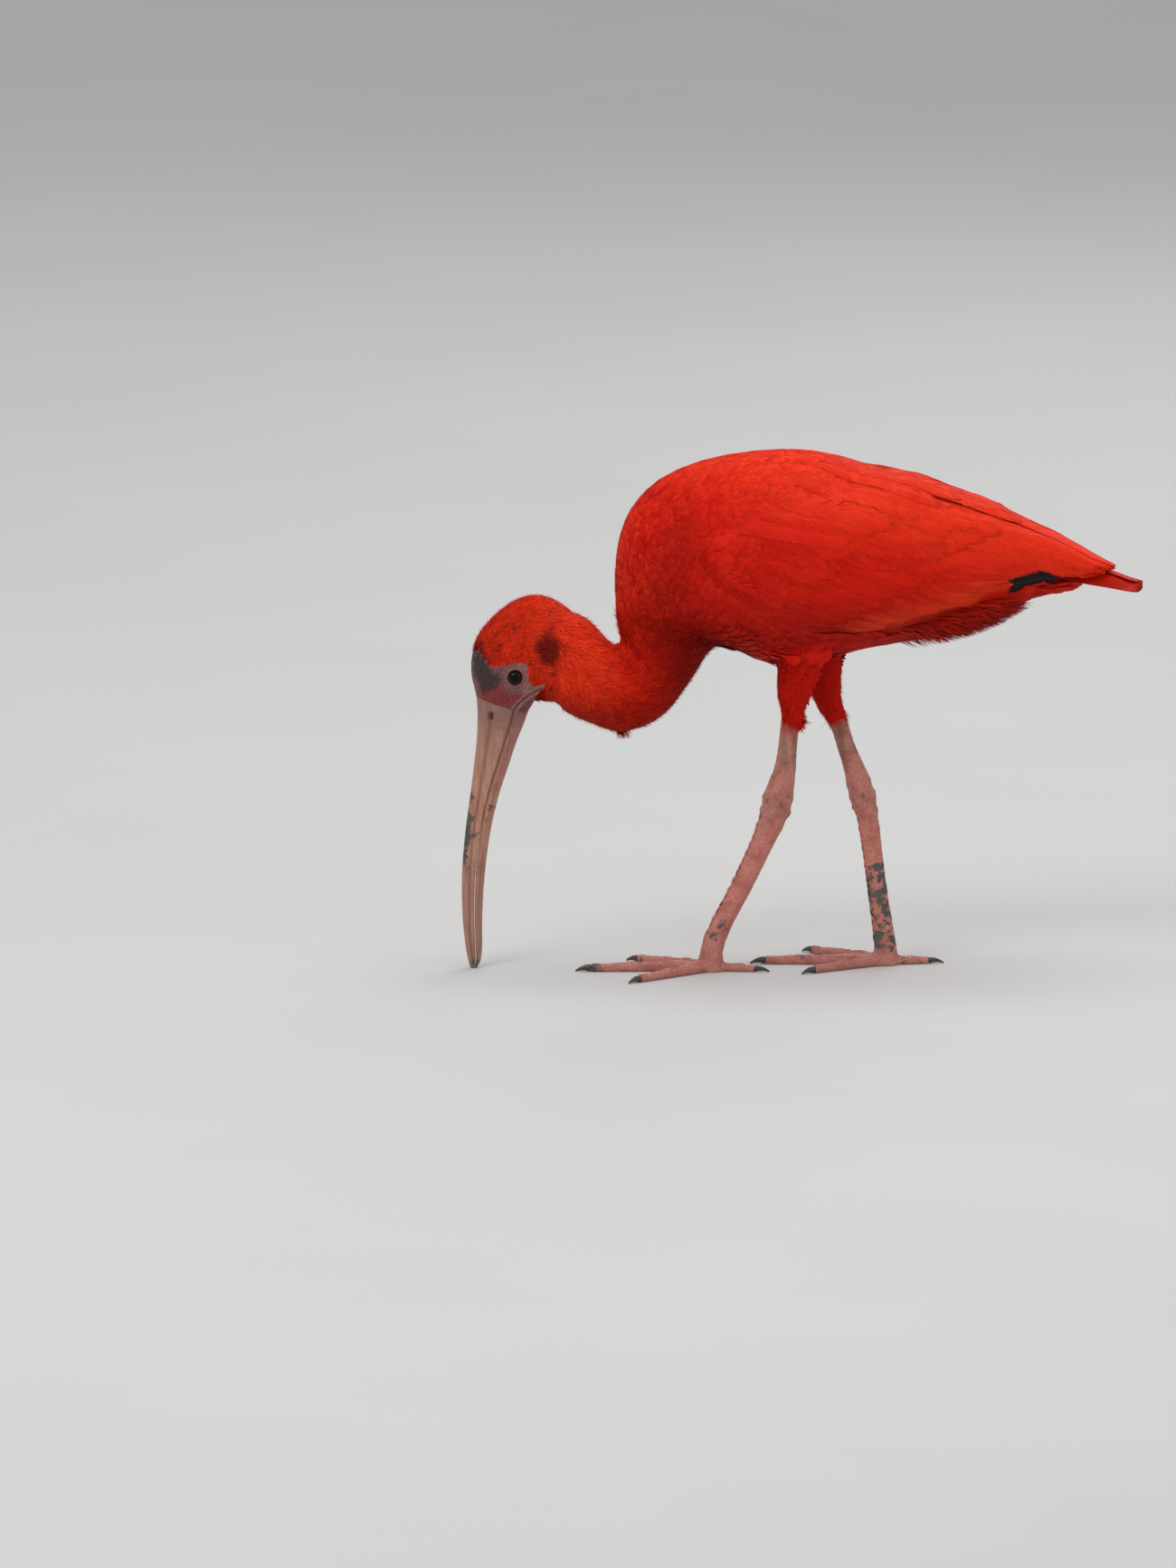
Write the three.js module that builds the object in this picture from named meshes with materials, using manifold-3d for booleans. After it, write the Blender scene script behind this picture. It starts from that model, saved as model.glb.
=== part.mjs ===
import * as THREE from "three";
import { mergeVertices } from "three/addons/utils/BufferGeometryUtils.js";
import Module from "manifold-3d";

// A life-size scarlet ibis that walks with its bill down to the ground.
// Millimetres, +Z up. It faces -X, its left side is towards -Y, and toes and bill tip rest on Z = 0.

// Driving dimensions
const GAP = 0.3; // clear space between neighbouring pieces
const BODY_SIDES = 24; // corners of a body section
const BODY_RINGS_PER_STATION = 2;
const BILL_SIDES = 12;
const LEG_SIDES = 12;
const TOE_SIDES = 10;
const EYE_RADIUS = 5.2;
const EYE_PLACE = [-164.9, 171.3];
const EYE_SINK = 3.2; // how far the eyeball's centre lies inside the face
const LID_RADIUS = 4.9;
const LID_THICKNESS = 1.1;
const EAR_CENTRE = [-147.5, 186.1];
const EAR_RADIUS = 7.5;
const EAR_DEPTH = 1.2;
const NOSTRIL_CENTRE = [-180.4, 147.6];
const NOSTRIL_SIZE = [0.7, 1.5, 3.0];

// Body sections from the bill base to the tail base: back point x, z, belly point x, z, half width.
const BODY = [
  [-186.9, 157.9, -157.8, 148.5, 8.8],
  [-190.1, 174.8, -154.2, 154.8, 13.6],
  [-186.4, 191.6, -152.1, 155.8, 16.8],
  [-176.0, 204.8, -150.0, 156.4, 18.0],
  [-160.9, 214.8, -147.4, 155.8, 18.6],
  [-144.8, 215.3, -144.3, 154.8, 18.8],
  [-131.3, 208.0, -138.6, 151.6, 19.2],
  [-120.4, 199.5, -129.7, 146.4, 20.0],
  [-113.6, 192.2, -118.8, 142.2, 20.8],
  [-109.1, 187.4, -105.8, 136.9, 21.6],
  [-107.7, 187.7, -90.7, 140.0, 22.2],
  [-106.3, 188.5, -77.2, 148.5, 22.8],
  [-105.2, 189.6, -67.3, 161.6, 24.0],
  [-104.8, 192.2, -59.5, 173.2, 26.0],
  [-106.3, 199.0, -54.3, 182.7, 29.0],
  [-107.6, 213.2, -50.2, 185.9, 33.0],
  [-107.9, 229.0, -45.0, 185.9, 37.0],
  [-105.8, 249.0, -38.7, 183.7, 40.5],
  [-98.5, 268.5, -32.0, 180.6, 43.0],
  [-82.4, 284.8, -25.2, 178.5, 45.0],
  [-58.0, 295.6, -15.9, 176.4, 46.5],
  [-26.8, 301.4, -0.8, 175.9, 47.0],
  [4.4, 301.9, 14.8, 178.5, 46.0],
  [33.0, 294.9, 33.0, 184.3, 42.5],
  [59.0, 283.9, 59.0, 189.0, 37.5],
  [87.6, 268.2, 84.0, 193.2, 31.0],
  [110.6, 252.9, 105.8, 200.1, 24.0],
  [126.2, 242.9, 121.5, 208.5, 18.5],
  [134.1, 237.1, 131.4, 216.4, 15.5],
];

// The places of the thin cuts, counted in stations of BODY.
const CUTS = { head: 6.0, neck_upper: 9.5, neck_lower: 14.0 };

// Bill sections from its base to its tip: culmen x, z, chin x, z, half width, share of the upper bill.
const BILL = [
  [-186.9, 157.9, -157.8, 148.5, 8.6, 0.72],
  [-186.3, 147.4, -160.4, 141.1, 8.0, 0.72],
  [-186.7, 134.3, -164.6, 130.6, 7.2, 0.7],
  [-188.0, 121.1, -168.7, 117.9, 6.4, 0.66],
  [-190.6, 100.0, -174.2, 101.1, 5.7, 0.61],
  [-193.4, 79.0, -178.9, 81.1, 5.1, 0.6],
  [-195.3, 55.3, -182.3, 56.9, 4.7, 0.6],
  [-195.1, 31.6, -183.9, 31.6, 4.3, 0.6],
  [-193.4, 13.2, -184.0, 13.2, 3.9, 0.6],
  [-191.9, 5.0, -184.8, 5.0, 3.2, 0.6],
  [-190.9, 1.4, -186.4, 1.4, 2.1, 0.6],
  [-190.2, 0.0, -187.2, 0.0, 1.3, 0.6],
];

// The gape runs on from the bill's mouth line to behind the eye: x, z.
const GAPE = [
  [-165.4, 150.6],
  [-162.6, 155.6],
  [-156.6, 161.0],
  [-149.6, 164.4],
];

// Folded wing, as stations along X: x, top z, bottom z, half width of the whole bird there.
const WING = [
  [-74.0, 250.0, 236.0, 40.0],
  [-70.0, 260.0, 226.0, 44.5],
  [-58.0, 272.0, 212.0, 49.0],
  [-38.0, 282.0, 199.0, 52.0],
  [-12.0, 289.5, 191.0, 54.0],
  [15.0, 293.5, 188.5, 54.0],
  [40.0, 294.5, 190.0, 51.5],
  [62.0, 290.0, 194.0, 47.0],
  [87.0, 280.5, 202.0, 40.5],
  [110.0, 271.6, 213.0, 33.5],
  [135.0, 260.4, 222.5, 26.0],
  [160.0, 247.1, 223.5, 18.5],
  [176.0, 238.0, 226.5, 12.5],
  [182.0, 233.8, 229.5, 7.5],
];

const WING_SQUARE = 2.1;
const WING_SIDES = 10;
const WING_CORE_DEPTH = 1.0;
const VANE_ROWS = 4;
const VANE_THICKNESS = 1.0;
const VANE_TILT = 0.5;
const VANE_ROOT_DEPTH = 1.8;

// Tiers of feathers on the left wing, from the lowest layer to the highest. Roots and tips are the
// first and last feather's x, z as seen from the side, and half is half a feather's width.
const WING_TIERS = {
  primaries: { count: 3, roots: [[100, 221], [102, 226]], tips: [[144, 224.5], [152, 229]], half: 5, lift: 0 },
  secondaries: { count: 6, roots: [[10, 212], [78, 238]], tips: [[44, 201], [126, 226]], half: 9, lift: 0.2 },
  greaterCoverts: { count: 6, roots: [[-28, 210], [40, 256]], tips: [[14, 200.5], [86, 240]], half: 10, lift: 0.7 },
  tertials: { count: 4, roots: [[60, 238], [72, 272]], tips: [[160, 229.5], [182, 236]], half: 9, lift: 0.9 },
  medianCoverts: { count: 5, roots: [[-50, 226], [0, 276]], tips: [[-12, 206], [44, 264]], half: 11, lift: 1.0 },
  scapulars: { count: 4, roots: [[10, 262], [40, 284]], tips: [[66, 248], [116, 268]], half: 10, lift: 1.4 },
};

// Closed tail: root and tip of its centre line x, z, half width and half depth at both.
const TAIL = {
  root: [134.5, 226.6],
  tip: [195.3, 222.0],
  rootHalf: [15.2, 10.0],
  tipHalf: [19.0, 4.2],
  top: 225.0,
  feathers: 12,
  featherHalf: 6.5,
  spread: 12,
  rounding: 4,
  step: 0.95,
  thickness: 0.65,
  camber: 0.5,
};

// Leg stations from the hip down: x, z, fore-aft radius, side radius.
const LEG_LEFT = [
  [-1.3, 190.9, 17.0, 14.0],
  [-3.4, 175.5, 13.6, 11.5],
  [-5.5, 160.8, 9.2, 8.4],
  [-6.5, 149.6, 5.8, 5.6],
  [-7.5, 141.9, 5.2, 4.6],
  [-8.6, 128.7, 5.4, 4.6],
  [-10.0, 117.2, 6.2, 5.2],
  [-13.0, 105.0, 8.2, 6.4],
  [-14.8, 96.1, 8.6, 6.8],
  [-17.4, 87.7, 7.6, 6.0],
  [-21.6, 77.7, 6.5, 4.9],
  [-28.9, 61.9, 6.2, 4.6],
  [-36.7, 45.5, 6.0, 4.4],
  [-44.5, 31.3, 5.8, 4.5],
  [-49.7, 19.2, 6.2, 5.2],
  [-52.3, 10.5, 6.4, 5.6],
];
const LEG_RIGHT = [
  [8.6, 190.1, 16.0, 13.5],
  [11.2, 171.2, 12.2, 10.5],
  [14.0, 157.5, 8.8, 7.8],
  [18.4, 146.5, 5.8, 5.4],
  [22.0, 137.5, 5.0, 4.5],
  [25.6, 126.1, 5.0, 4.4],
  [29.8, 115.0, 5.8, 5.0],
  [33.2, 104.0, 7.4, 6.2],
  [35.8, 95.0, 7.2, 6.4],
  [38.2, 84.5, 6.0, 5.4],
  [39.8, 72.9, 5.7, 4.8],
  [41.9, 56.6, 5.5, 4.5],
  [44.2, 39.7, 5.6, 4.4],
  [46.3, 25.0, 5.8, 4.6],
  [47.6, 15.4, 6.2, 5.2],
  [48.3, 10.0, 6.4, 5.6],
];
const LEG_CUTS = { thigh: 3.4, shank: 9.0, tarsus: 14.0 };
const HIP_Y = 17;
const FOOT_Y = 11;

// Toes: turn from straight ahead towards the bird's own outer side, length with claw, radius.
const TOES = {
  inner: { turn: -36, length: 60, radius: 3.3 },
  middle: { turn: 2, length: 78, radius: 3.5 },
  outer: { turn: 44, length: 66, radius: 3.3 },
  hallux: { turn: 172, length: 34, radius: 3.0 },
};
const CLAW_LENGTH = 9;
const STUB_LENGTH = 11;
const WEB_REACH = { inner: 17, middle: 24, outer: 22 };
const WEB_THICKNESS = 1.4;
const WEB_LEVEL = 0.8;
const PAD_SWELL = 0.08;

const COLOURS = {
  plumage: 0xdc2e17,
  wing: 0xe03218,
  bill: 0xc08a78,
  eye: 0x14100e,
  leg: 0xd9776a,
  claw: 0x3a3230,
};

const wasm = await Module();
wasm.setup();

const v3 = (x, y, z) => new THREE.Vector3(x, y, z);
const mix = THREE.MathUtils.lerp;
const rad = THREE.MathUtils.degToRad;

// A closed geometry as a solid that can be joined and cut.
function solid(geometry) {
  const plain = new THREE.BufferGeometry();
  plain.setAttribute("position", geometry.getAttribute("position").clone());
  if (geometry.index) plain.setIndex(geometry.index.clone());
  const merged = mergeVertices(plain, 1e-4);
  return new wasm.Manifold(
    new wasm.Mesh({
      numProp: 3,
      vertProperties: merged.attributes.position.array,
      triVerts: new Uint32Array(merged.index.array),
    }),
  );
}

// A solid back as a three.js geometry.
function geometryOf(body) {
  const mesh = body.getMesh();
  const points = new Float32Array(mesh.numVert * 3);
  for (let i = 0; i < mesh.numVert; i++) {
    const start = i * mesh.numProp;
    points.set(mesh.vertProperties.subarray(start, start + 3), i * 3);
  }
  const geometry = new THREE.BufferGeometry();
  geometry.setAttribute("position", new THREE.BufferAttribute(points, 3));
  geometry.setIndex(new THREE.BufferAttribute(new Uint32Array(mesh.triVerts), 1));
  geometry.computeVertexNormals();
  return geometry;
}

// The largest closed surface of a solid.
function largest(body) {
  return body.decompose().reduce((a, b) => (b.volume() > a.volume() ? b : a));
}

// The separate piece of a cut solid whose box centre is nearest to a point.
function pieceNear(pieces, point) {
  const away = (piece) => {
    const { min, max } = piece.boundingBox();
    return point.distanceTo(
      v3((min[0] + max[0]) / 2, (min[1] + max[1]) / 2, (min[2] + max[2]) / 2),
    );
  };
  return pieces.reduce((a, b) => (away(b) < away(a) ? b : a));
}

// A row of numbers at any station, smoothly between the rows of a table.
function smoothRows(table, stations = table.map((row, i) => i)) {
  const stride = table[0].length;
  const curve = new THREE.CubicInterpolant(
    stations,
    table.flat(),
    stride,
    new Float32Array(stride),
  );
  return (station) => Array.from(curve.evaluate(station));
}

// A closed skin over rings of equal count, each end closed by a fan to its middle.
function loft(rings) {
  const count = rings[0].length;
  const middle = (ring) =>
    ring.reduce((sum, p) => sum.add(p), v3(0, 0, 0)).divideScalar(count);
  const points = [...rings.flat(), middle(rings[0]), middle(rings.at(-1))];
  const faces = [];
  for (let r = 0; r + 1 < rings.length; r++) {
    for (let i = 0; i < count; i++) {
      const a = r * count + i;
      const b = r * count + ((i + 1) % count);
      faces.push(a, b, a + count, b, b + count, a + count);
    }
  }
  const last = (rings.length - 1) * count;
  for (let i = 0; i < count; i++) {
    const next = (i + 1) % count;
    faces.push(points.length - 2, next, i);
    faces.push(points.length - 1, last + i, last + next);
  }
  const geometry = new THREE.BufferGeometry().setFromPoints(points);
  geometry.setIndex(faces);
  const made = solid(geometry);
  if (made.volume() > 0) return made;
  geometry.setIndex(faces.reverse());
  return solid(geometry);
}

// A thin closed plate between two grids of points, split into triangles alike on both faces.
function plate(upper, lower) {
  const rows = upper.length;
  const columns = upper[0].length;
  const points = [...upper.flat(), ...lower.flat()];
  const under = rows * columns;
  const at = (r, c) => r * columns + c;
  const faces = [];
  for (let r = 0; r + 1 < rows; r++) {
    for (let c = 0; c + 1 < columns; c++) {
      const corners = [at(r, c), at(r, c + 1), at(r + 1, c + 1), at(r + 1, c)];
      const [p, q, m, n] = corners;
      faces.push(p, q, m, p, m, n);
      faces.push(under + p, under + m, under + q, under + p, under + n, under + m);
    }
  }
  const rim = [];
  for (let c = 0; c + 1 < columns; c++) rim.push(at(0, c));
  for (let r = 0; r + 1 < rows; r++) rim.push(at(r, columns - 1));
  for (let c = columns - 1; c > 0; c--) rim.push(at(rows - 1, c));
  for (let r = rows - 1; r > 0; r--) rim.push(at(r, 0));
  rim.forEach((a, i) => {
    const b = rim[(i + 1) % rim.length];
    faces.push(a, under + a, b, b, under + a, under + b);
  });
  const geometry = new THREE.BufferGeometry().setFromPoints(points);
  geometry.setIndex(faces);
  const made = solid(geometry);
  if (made.volume() > 0) return made;
  geometry.setIndex(faces.reverse());
  return solid(geometry);
}

// How wide a feather is along its length, as a share of its half width.
function featherOutline(t) {
  const root = THREE.MathUtils.smoothstep(t, -0.15, 0.45);
  const tip = t < 0.72 ? 1 : Math.sqrt(Math.max(0, 1 - ((t - 0.72) / 0.29) ** 2));
  return mix(0.45, 1, root) * tip;
}

// An oval section between two points of the XZ plane, with its half width along Y.
function section(back, belly, half, sides, square = 2, grow = 0) {
  const centre = back.clone().add(belly).divideScalar(2);
  const reach = back.clone().sub(centre);
  reach.setLength(reach.length() + grow);
  const round = (value) => Math.sign(value) * Math.abs(value) ** (2 / square);
  return Array.from({ length: sides }, (_, i) => {
    const angle = (2 * Math.PI * i) / sides;
    const point = centre.clone().addScaledVector(reach, round(Math.cos(angle)));
    point.y += (half + grow) * round(Math.sin(angle));
    return point;
  });
}

// The whole body from head to tail base, or a part of it, grown by a margin.
const bodyAt = smoothRows(BODY);
function bodySolid(from, to, grow = 0) {
  const steps = Math.round((to - from) * BODY_RINGS_PER_STATION);
  const rings = Array.from({ length: steps + 1 }, (_, i) => {
    const [bx, bz, cx, cz, half] = bodyAt(mix(from, to, i / steps));
    return section(v3(bx, 0, bz), v3(cx, 0, cz), half, BODY_SIDES, 2.1, grow);
  });
  return loft(rings);
}

// A thin slab across the body at a station.
function bodySlab(station) {
  const [bx, bz, cx, cz, half] = bodyAt(station);
  const across = v3(bx - cx, 0, bz - cz);
  const slab = new THREE.BoxGeometry(across.length() + 8, 2 * half + 8, GAP);
  const turn = new THREE.Matrix4().makeRotationY(-Math.atan2(across.z, across.x));
  slab.applyMatrix4(turn);
  slab.translate((bx + cx) / 2, 0, (bz + cz) / 2);
  return solid(slab);
}

// A copy of a solid mirrored from the left side to the right one.
const mirrored = (body) => body.mirror([0, 1, 0]);

// The bill, whole, and the curved ribbon that parts it along the mouth.
const billAt = smoothRows(BILL);
function billSolid() {
  const steps = Math.round((BILL.length - 1) * 1.5);
  const rings = Array.from({ length: steps + 1 }, (_, i) => {
    const [cx, cz, bx, bz, half] = billAt((i * (BILL.length - 1)) / steps);
    return section(v3(cx, 0, cz), v3(bx, 0, bz), half, BILL_SIDES, 2);
  });
  // The base stands clear of the head, along the bill.
  for (const point of rings[0]) point.z -= GAP * 1.2;
  return loft(rings);
}

function mouthRibbon() {
  const line = BILL.map(([cx, cz, bx, bz, , share]) =>
    v3(mix(cx, bx, share), 0, mix(cz, bz, share)),
  ).reverse();
  line[0].z -= 4;
  for (const [x, z] of GAPE) line.push(v3(x, 0, z));
  const curve = new THREE.CatmullRomCurve3(line);
  const steps = 36;
  const rings = Array.from({ length: steps + 1 }, (_, i) => {
    const centre = curve.getPoint(i / steps);
    const along = curve.getTangent(i / steps);
    const across = v3(along.z, 0, -along.x).multiplyScalar(GAP / 2);
    const side = v3(0, 24, 0);
    return [
      centre.clone().add(across).add(side),
      centre.clone().add(across).sub(side),
      centre.clone().sub(across).sub(side),
      centre.clone().sub(across).add(side),
    ];
  });
  return loft(rings);
}

// A ball stretched to three half sizes, at a place.
function ball(halves, place, turn = 0, sides = 14) {
  const geometry = new THREE.SphereGeometry(1, sides, Math.round(sides * 0.65));
  geometry.scale(...halves);
  geometry.rotateY(turn);
  geometry.translate(...place);
  return solid(geometry);
}

// Both sides' copies of a solid made for the left, as a list.
const bothSides = (body) => [body, mirrored(body)];

// Where a line along Y meets the left side of a solid.
function leftSurface(body) {
  const mesh = new THREE.Mesh(geometryOf(body), new THREE.MeshBasicMaterial());
  const ray = new THREE.Raycaster();
  return (x, z) => {
    ray.set(v3(x, -200, z), v3(0, 1, 0));
    return ray.intersectObject(mesh)[0].point.y;
  };
}

// A limb between two stations, along a line that leans from the hip to the foot.
function limb(table, side, from, to) {
  const at = smoothRows(table);
  const last = table.length - 1;
  const centre = (station) => {
    const [x, z, fore, lateral] = at(station);
    const lean = THREE.MathUtils.smoothstep(station, 0, last);
    return { point: v3(x, side * mix(HIP_Y, FOOT_Y, lean), z), fore, lateral };
  };
  const steps = Math.max(2, Math.round((to - from) * 1.5));
  const rings = Array.from({ length: steps + 1 }, (_, i) => {
    const station = mix(from, to, i / steps);
    const { point, fore, lateral } = centre(station);
    const ahead = centre(Math.min(station + 0.2, last)).point;
    const behind = centre(Math.max(station - 0.2, 0)).point;
    const along = ahead.sub(behind).normalize();
    const forward = v3(-along.z, 0, along.x).normalize();
    const out = v3().crossVectors(along, forward);
    return Array.from({ length: LEG_SIDES }, (_, k) => {
      const angle = (2 * Math.PI * k) / LEG_SIDES;
      return point
        .clone()
        .addScaledVector(forward, fore * Math.cos(angle))
        .addScaledVector(out, lateral * Math.sin(angle));
    });
  });
  return loft(rings);
}

// A toe or claw lying on the ground: a tube whose underside is pressed flat at Z = 0.
function lyingTube(start, direction, length, radiusAt, heightAt, steps) {
  const out = v3(-direction.y, direction.x, 0);
  const rings = Array.from({ length: steps + 1 }, (_, i) => {
    const t = i / steps;
    const radius = radiusAt(t);
    const centre = start.clone().addScaledVector(direction, length * t);
    centre.z = heightAt(t);
    return Array.from({ length: TOE_SIDES }, (_, k) => {
      const angle = (2 * Math.PI * (k + 0.5)) / TOE_SIDES;
      const point = centre.clone().addScaledVector(out, radius * Math.cos(angle));
      point.z = Math.max(0, point.z + radius * Math.sin(angle));
      return point;
    });
  });
  return loft(rings);
}

// One toe: its own tube, the stub that it grows from, its claw, and the room that it needs.
function toe(centre, side, { turn, length, radius }) {
  const heading = rad(180 - side * turn);
  const direction = v3(Math.cos(heading), Math.sin(heading), 0);
  const bare = length - CLAW_LENGTH;
  const root = STUB_LENGTH / bare;
  const from = (distance) => centre.clone().addScaledVector(direction, distance);
  // Pads swell between the joints, and the toe thins towards its claw.
  const pads = (t) => radius * mix(1.04, 0.72, t) * (1 + PAD_SWELL * Math.cos(t * 6 * Math.PI));
  const height = (t) => pads(t) * 0.8;
  const tube = (grow) =>
    lyingTube(
      from(STUB_LENGTH - grow),
      direction,
      bare - STUB_LENGTH + 2 * grow,
      (t) => pads(mix(root, 1, t)) + grow,
      (t) => height(mix(root, 1, t)),
      6,
    );
  const stub = lyingTube(
    centre,
    direction,
    STUB_LENGTH - GAP,
    (t) => pads(root * t) * mix(1.25, 1, t),
    (t) => height(root * t) * mix(1.3, 1, t),
    2,
  );
  const claw = lyingTube(
    from(bare + GAP),
    direction,
    CLAW_LENGTH - GAP,
    (t) => mix(pads(1) * 0.82, 0.45, t),
    (t) => mix(height(1), 0.45, t) + 0.9 * Math.sin(t * Math.PI),
    3,
  );
  return { direction, stub, tube: tube(0), room: tube(GAP), claw };
}

// The small skin between two toe roots, a thin plate with a hollow front edge.
function web(centre, first, second, firstReach, secondReach) {
  const corner = (direction, reach) => centre.clone().addScaledVector(direction, reach);
  const hollow = corner(first, firstReach * 0.6).add(corner(second, secondReach * 0.6));
  const outline = [
    centre.clone(),
    corner(first, firstReach),
    hollow.divideScalar(2),
    corner(second, secondReach),
  ];
  const level = (z) => outline.map((p) => v3(p.x, p.y, z));
  return loft([level(WEB_LEVEL), level(WEB_LEVEL + WEB_THICKNESS)]);
}

// Foot hub with its webs, toes and claws of one side.
function foot(table, side) {
  const [x, z, fore] = table.at(-1);
  const centre = v3(x, side * FOOT_Y, 0);
  const toes = Object.fromEntries(
    Object.entries(TOES).map(([name, sizes]) => [name, toe(centre, side, sizes)]),
  );
  const column = loft(
    [0, 0.5, 1].map((t) => {
      const swell = fore * mix(1.25, 1.0, t);
      return Array.from({ length: LEG_SIDES }, (_, k) => {
        const angle = (2 * Math.PI * k) / LEG_SIDES;
        return v3(
          centre.x + swell * Math.cos(angle),
          centre.y + swell * 0.9 * Math.sin(angle),
          z * t,
        );
      });
    }),
  );
  const webs = [
    ["inner", "middle"],
    ["middle", "outer"],
  ].map(([a, b]) =>
    web(centre, toes[a].direction, toes[b].direction, WEB_REACH[a], WEB_REACH[b]),
  );
  const stubs = Object.values(toes).map((each) => each.stub);
  const rooms = Object.values(toes).map((each) => each.room);
  const hub = wasm.Manifold.union([column, ...stubs, ...webs]);
  return { toes, hub, rooms: wasm.Manifold.union(rooms) };
}

// Torso, neck and head are one form, parted by thin cuts.
const lastStation = BODY.length - 1;
const cutBody = Object.values(CUTS).reduce(
  (body, station) => body.subtract(bodySlab(station)),
  bodySolid(0, lastStation),
);
const bodyPieces = cutBody.decompose();
const headWhole = pieceNear(bodyPieces, v3(-165, 0, 180));
const neckUpper = pieceNear(bodyPieces, v3(-122, 0, 170));
const neckLower = pieceNear(bodyPieces, v3(-85, 0, 165));
const torsoWhole = pieceNear(bodyPieces, v3(20, 0, 240));

// Bill, parted along the mouth.
const ribbon = mouthRibbon();
const bill = billSolid();
const billSide = leftSurface(bill);
const nostril = ball(
  NOSTRIL_SIZE,
  [NOSTRIL_CENTRE[0], billSide(...NOSTRIL_CENTRE) + 0.3, NOSTRIL_CENTRE[1]],
  rad(4),
  8,
);
const billHalves = bothSides(nostril)
  .reduce((body, slit) => body.subtract(slit), bill)
  .subtract(ribbon)
  .decompose();
const billUpper = pieceNear(billHalves, v3(-185, 0, 79));
const billLower = pieceNear(billHalves, v3(-169, 0, 75));

// Head with eye sockets, lids, ear hollows and the gape.
const headSide = leftSurface(headWhole);
const [eyeX, eyeZ] = EYE_PLACE;
const faceY = headSide(eyeX, eyeZ);
const eyeCentre = [eyeX, faceY + EYE_SINK, eyeZ];
const eyeball = ball([EYE_RADIUS, EYE_RADIUS, EYE_RADIUS], eyeCentre);
const socketRadius = EYE_RADIUS + GAP;
const socket = ball([socketRadius, socketRadius, socketRadius], eyeCentre);
const lidRing = new THREE.TorusGeometry(LID_RADIUS, LID_THICKNESS, 6, 20);
lidRing.rotateX(Math.PI / 2);
lidRing.rotateZ(rad(-14));
lidRing.translate(eyeX, faceY + 0.2, eyeZ);
const lids = solid(lidRing);
const earPlace = [EAR_CENTRE[0], headSide(...EAR_CENTRE) - EAR_RADIUS + EAR_DEPTH, EAR_CENTRE[1]];
const ear = ball([EAR_RADIUS, EAR_RADIUS, EAR_RADIUS], earPlace);
let head = headWhole;
for (const lid of bothSides(lids)) head = head.add(lid);
for (const cut of [...bothSides(socket), ...bothSides(ear), ribbon]) head = head.subtract(cut);
head = largest(head);

// Room that the closed tail takes, and the soft cone of small feathers round its root.
function tailRoom(grow, tipHalf, reach) {
  const steps = 6;
  const rings = Array.from({ length: steps + 1 }, (_, i) => {
    const t = i / steps;
    const x = mix(TAIL.root[0], mix(TAIL.root[0], TAIL.tip[0], reach), t) + GAP * 2;
    const z = mix(TAIL.root[1], TAIL.tip[1], t * reach);
    const deep = mix(TAIL.rootHalf[1], tipHalf[1], t ** 0.7) + grow;
    const wide = mix(TAIL.rootHalf[0], tipHalf[0], t) + grow;
    return section(v3(x, 0, z + deep), v3(x, 0, z - deep), wide, BODY_SIDES);
  });
  return loft(rings);
}

// One tail feather, numbered from the middle of the tail to its side.
function tailFeather(rank, side) {
  const spread = (rank + 0.5) / (TAIL.feathers / 2);
  const level = TAIL.step * (rank + (side > 0 ? 0.5 : 0));
  const grid = (drop) =>
    Array.from({ length: VANE_ROWS }, (_, i) => {
      const t = i / (VANE_ROWS - 1);
      const x = mix(TAIL.root[0] + 5, TAIL.tip[0] - TAIL.rounding * spread ** 2, t);
      const along = (x - TAIL.root[0]) / (TAIL.tip[0] - TAIL.root[0]);
      const z = mix(TAIL.root[1] + 2, TAIL.top, along) - level * along - drop;
      const y = side * mix(4, TAIL.spread, t) * spread;
      const half = TAIL.featherHalf * featherOutline(t);
      return [-1, 0, 1].map((s) => v3(x, y + s * half, z - TAIL.camber * s * s));
    });
  return plate(grid(0), grid(TAIL.thickness));
}

function tailSolid() {
  const feathers = [];
  for (let rank = 0; rank < TAIL.feathers / 2; rank++) {
    for (const side of [-1, 1]) feathers.push(tailFeather(rank, side));
  }
  return largest(wasm.Manifold.union([tailRoom(0, [11, 2.6], 0.5), ...feathers]));
}

// The closed wing's outer surface: a place by X and by the angle down from the back, raised by a lift.
const wingAt = smoothRows(WING, WING.map(([x]) => x));
const roundTo = (value, square) => Math.sign(value) * Math.abs(value) ** (2 / square);
function onWing(x, angle, lift) {
  const [, top, bottom, half] = wingAt(x);
  return v3(
    x,
    -(half + lift) * roundTo(Math.sin(angle), WING_SQUARE),
    (top + bottom) / 2 + ((top - bottom) / 2 + lift) * roundTo(Math.cos(angle), WING_SQUARE),
  );
}

// The angle on that surface of a point seen from the side.
function wingAngle([x, z]) {
  const [, top, bottom] = wingAt(x);
  const height = THREE.MathUtils.clamp((2 * z - top - bottom) / (top - bottom), -0.995, 0.995);
  return Math.acos(roundTo(height, 4 / WING_SQUARE));
}

function wingCore() {
  const [first, last] = [WING[0][0], WING.at(-1)[0]];
  const rings = Array.from({ length: WING.length }, (_, i) => {
    const x = mix(first, last, i / (WING.length - 1));
    return Array.from({ length: WING_SIDES + 1 }, (_, k) => {
      const point = onWing(x, (Math.PI * k) / WING_SIDES, -WING_CORE_DEPTH);
      point.y = Math.min(point.y, -GAP / 2);
      return point;
    });
  });
  return loft(rings);
}

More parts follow.
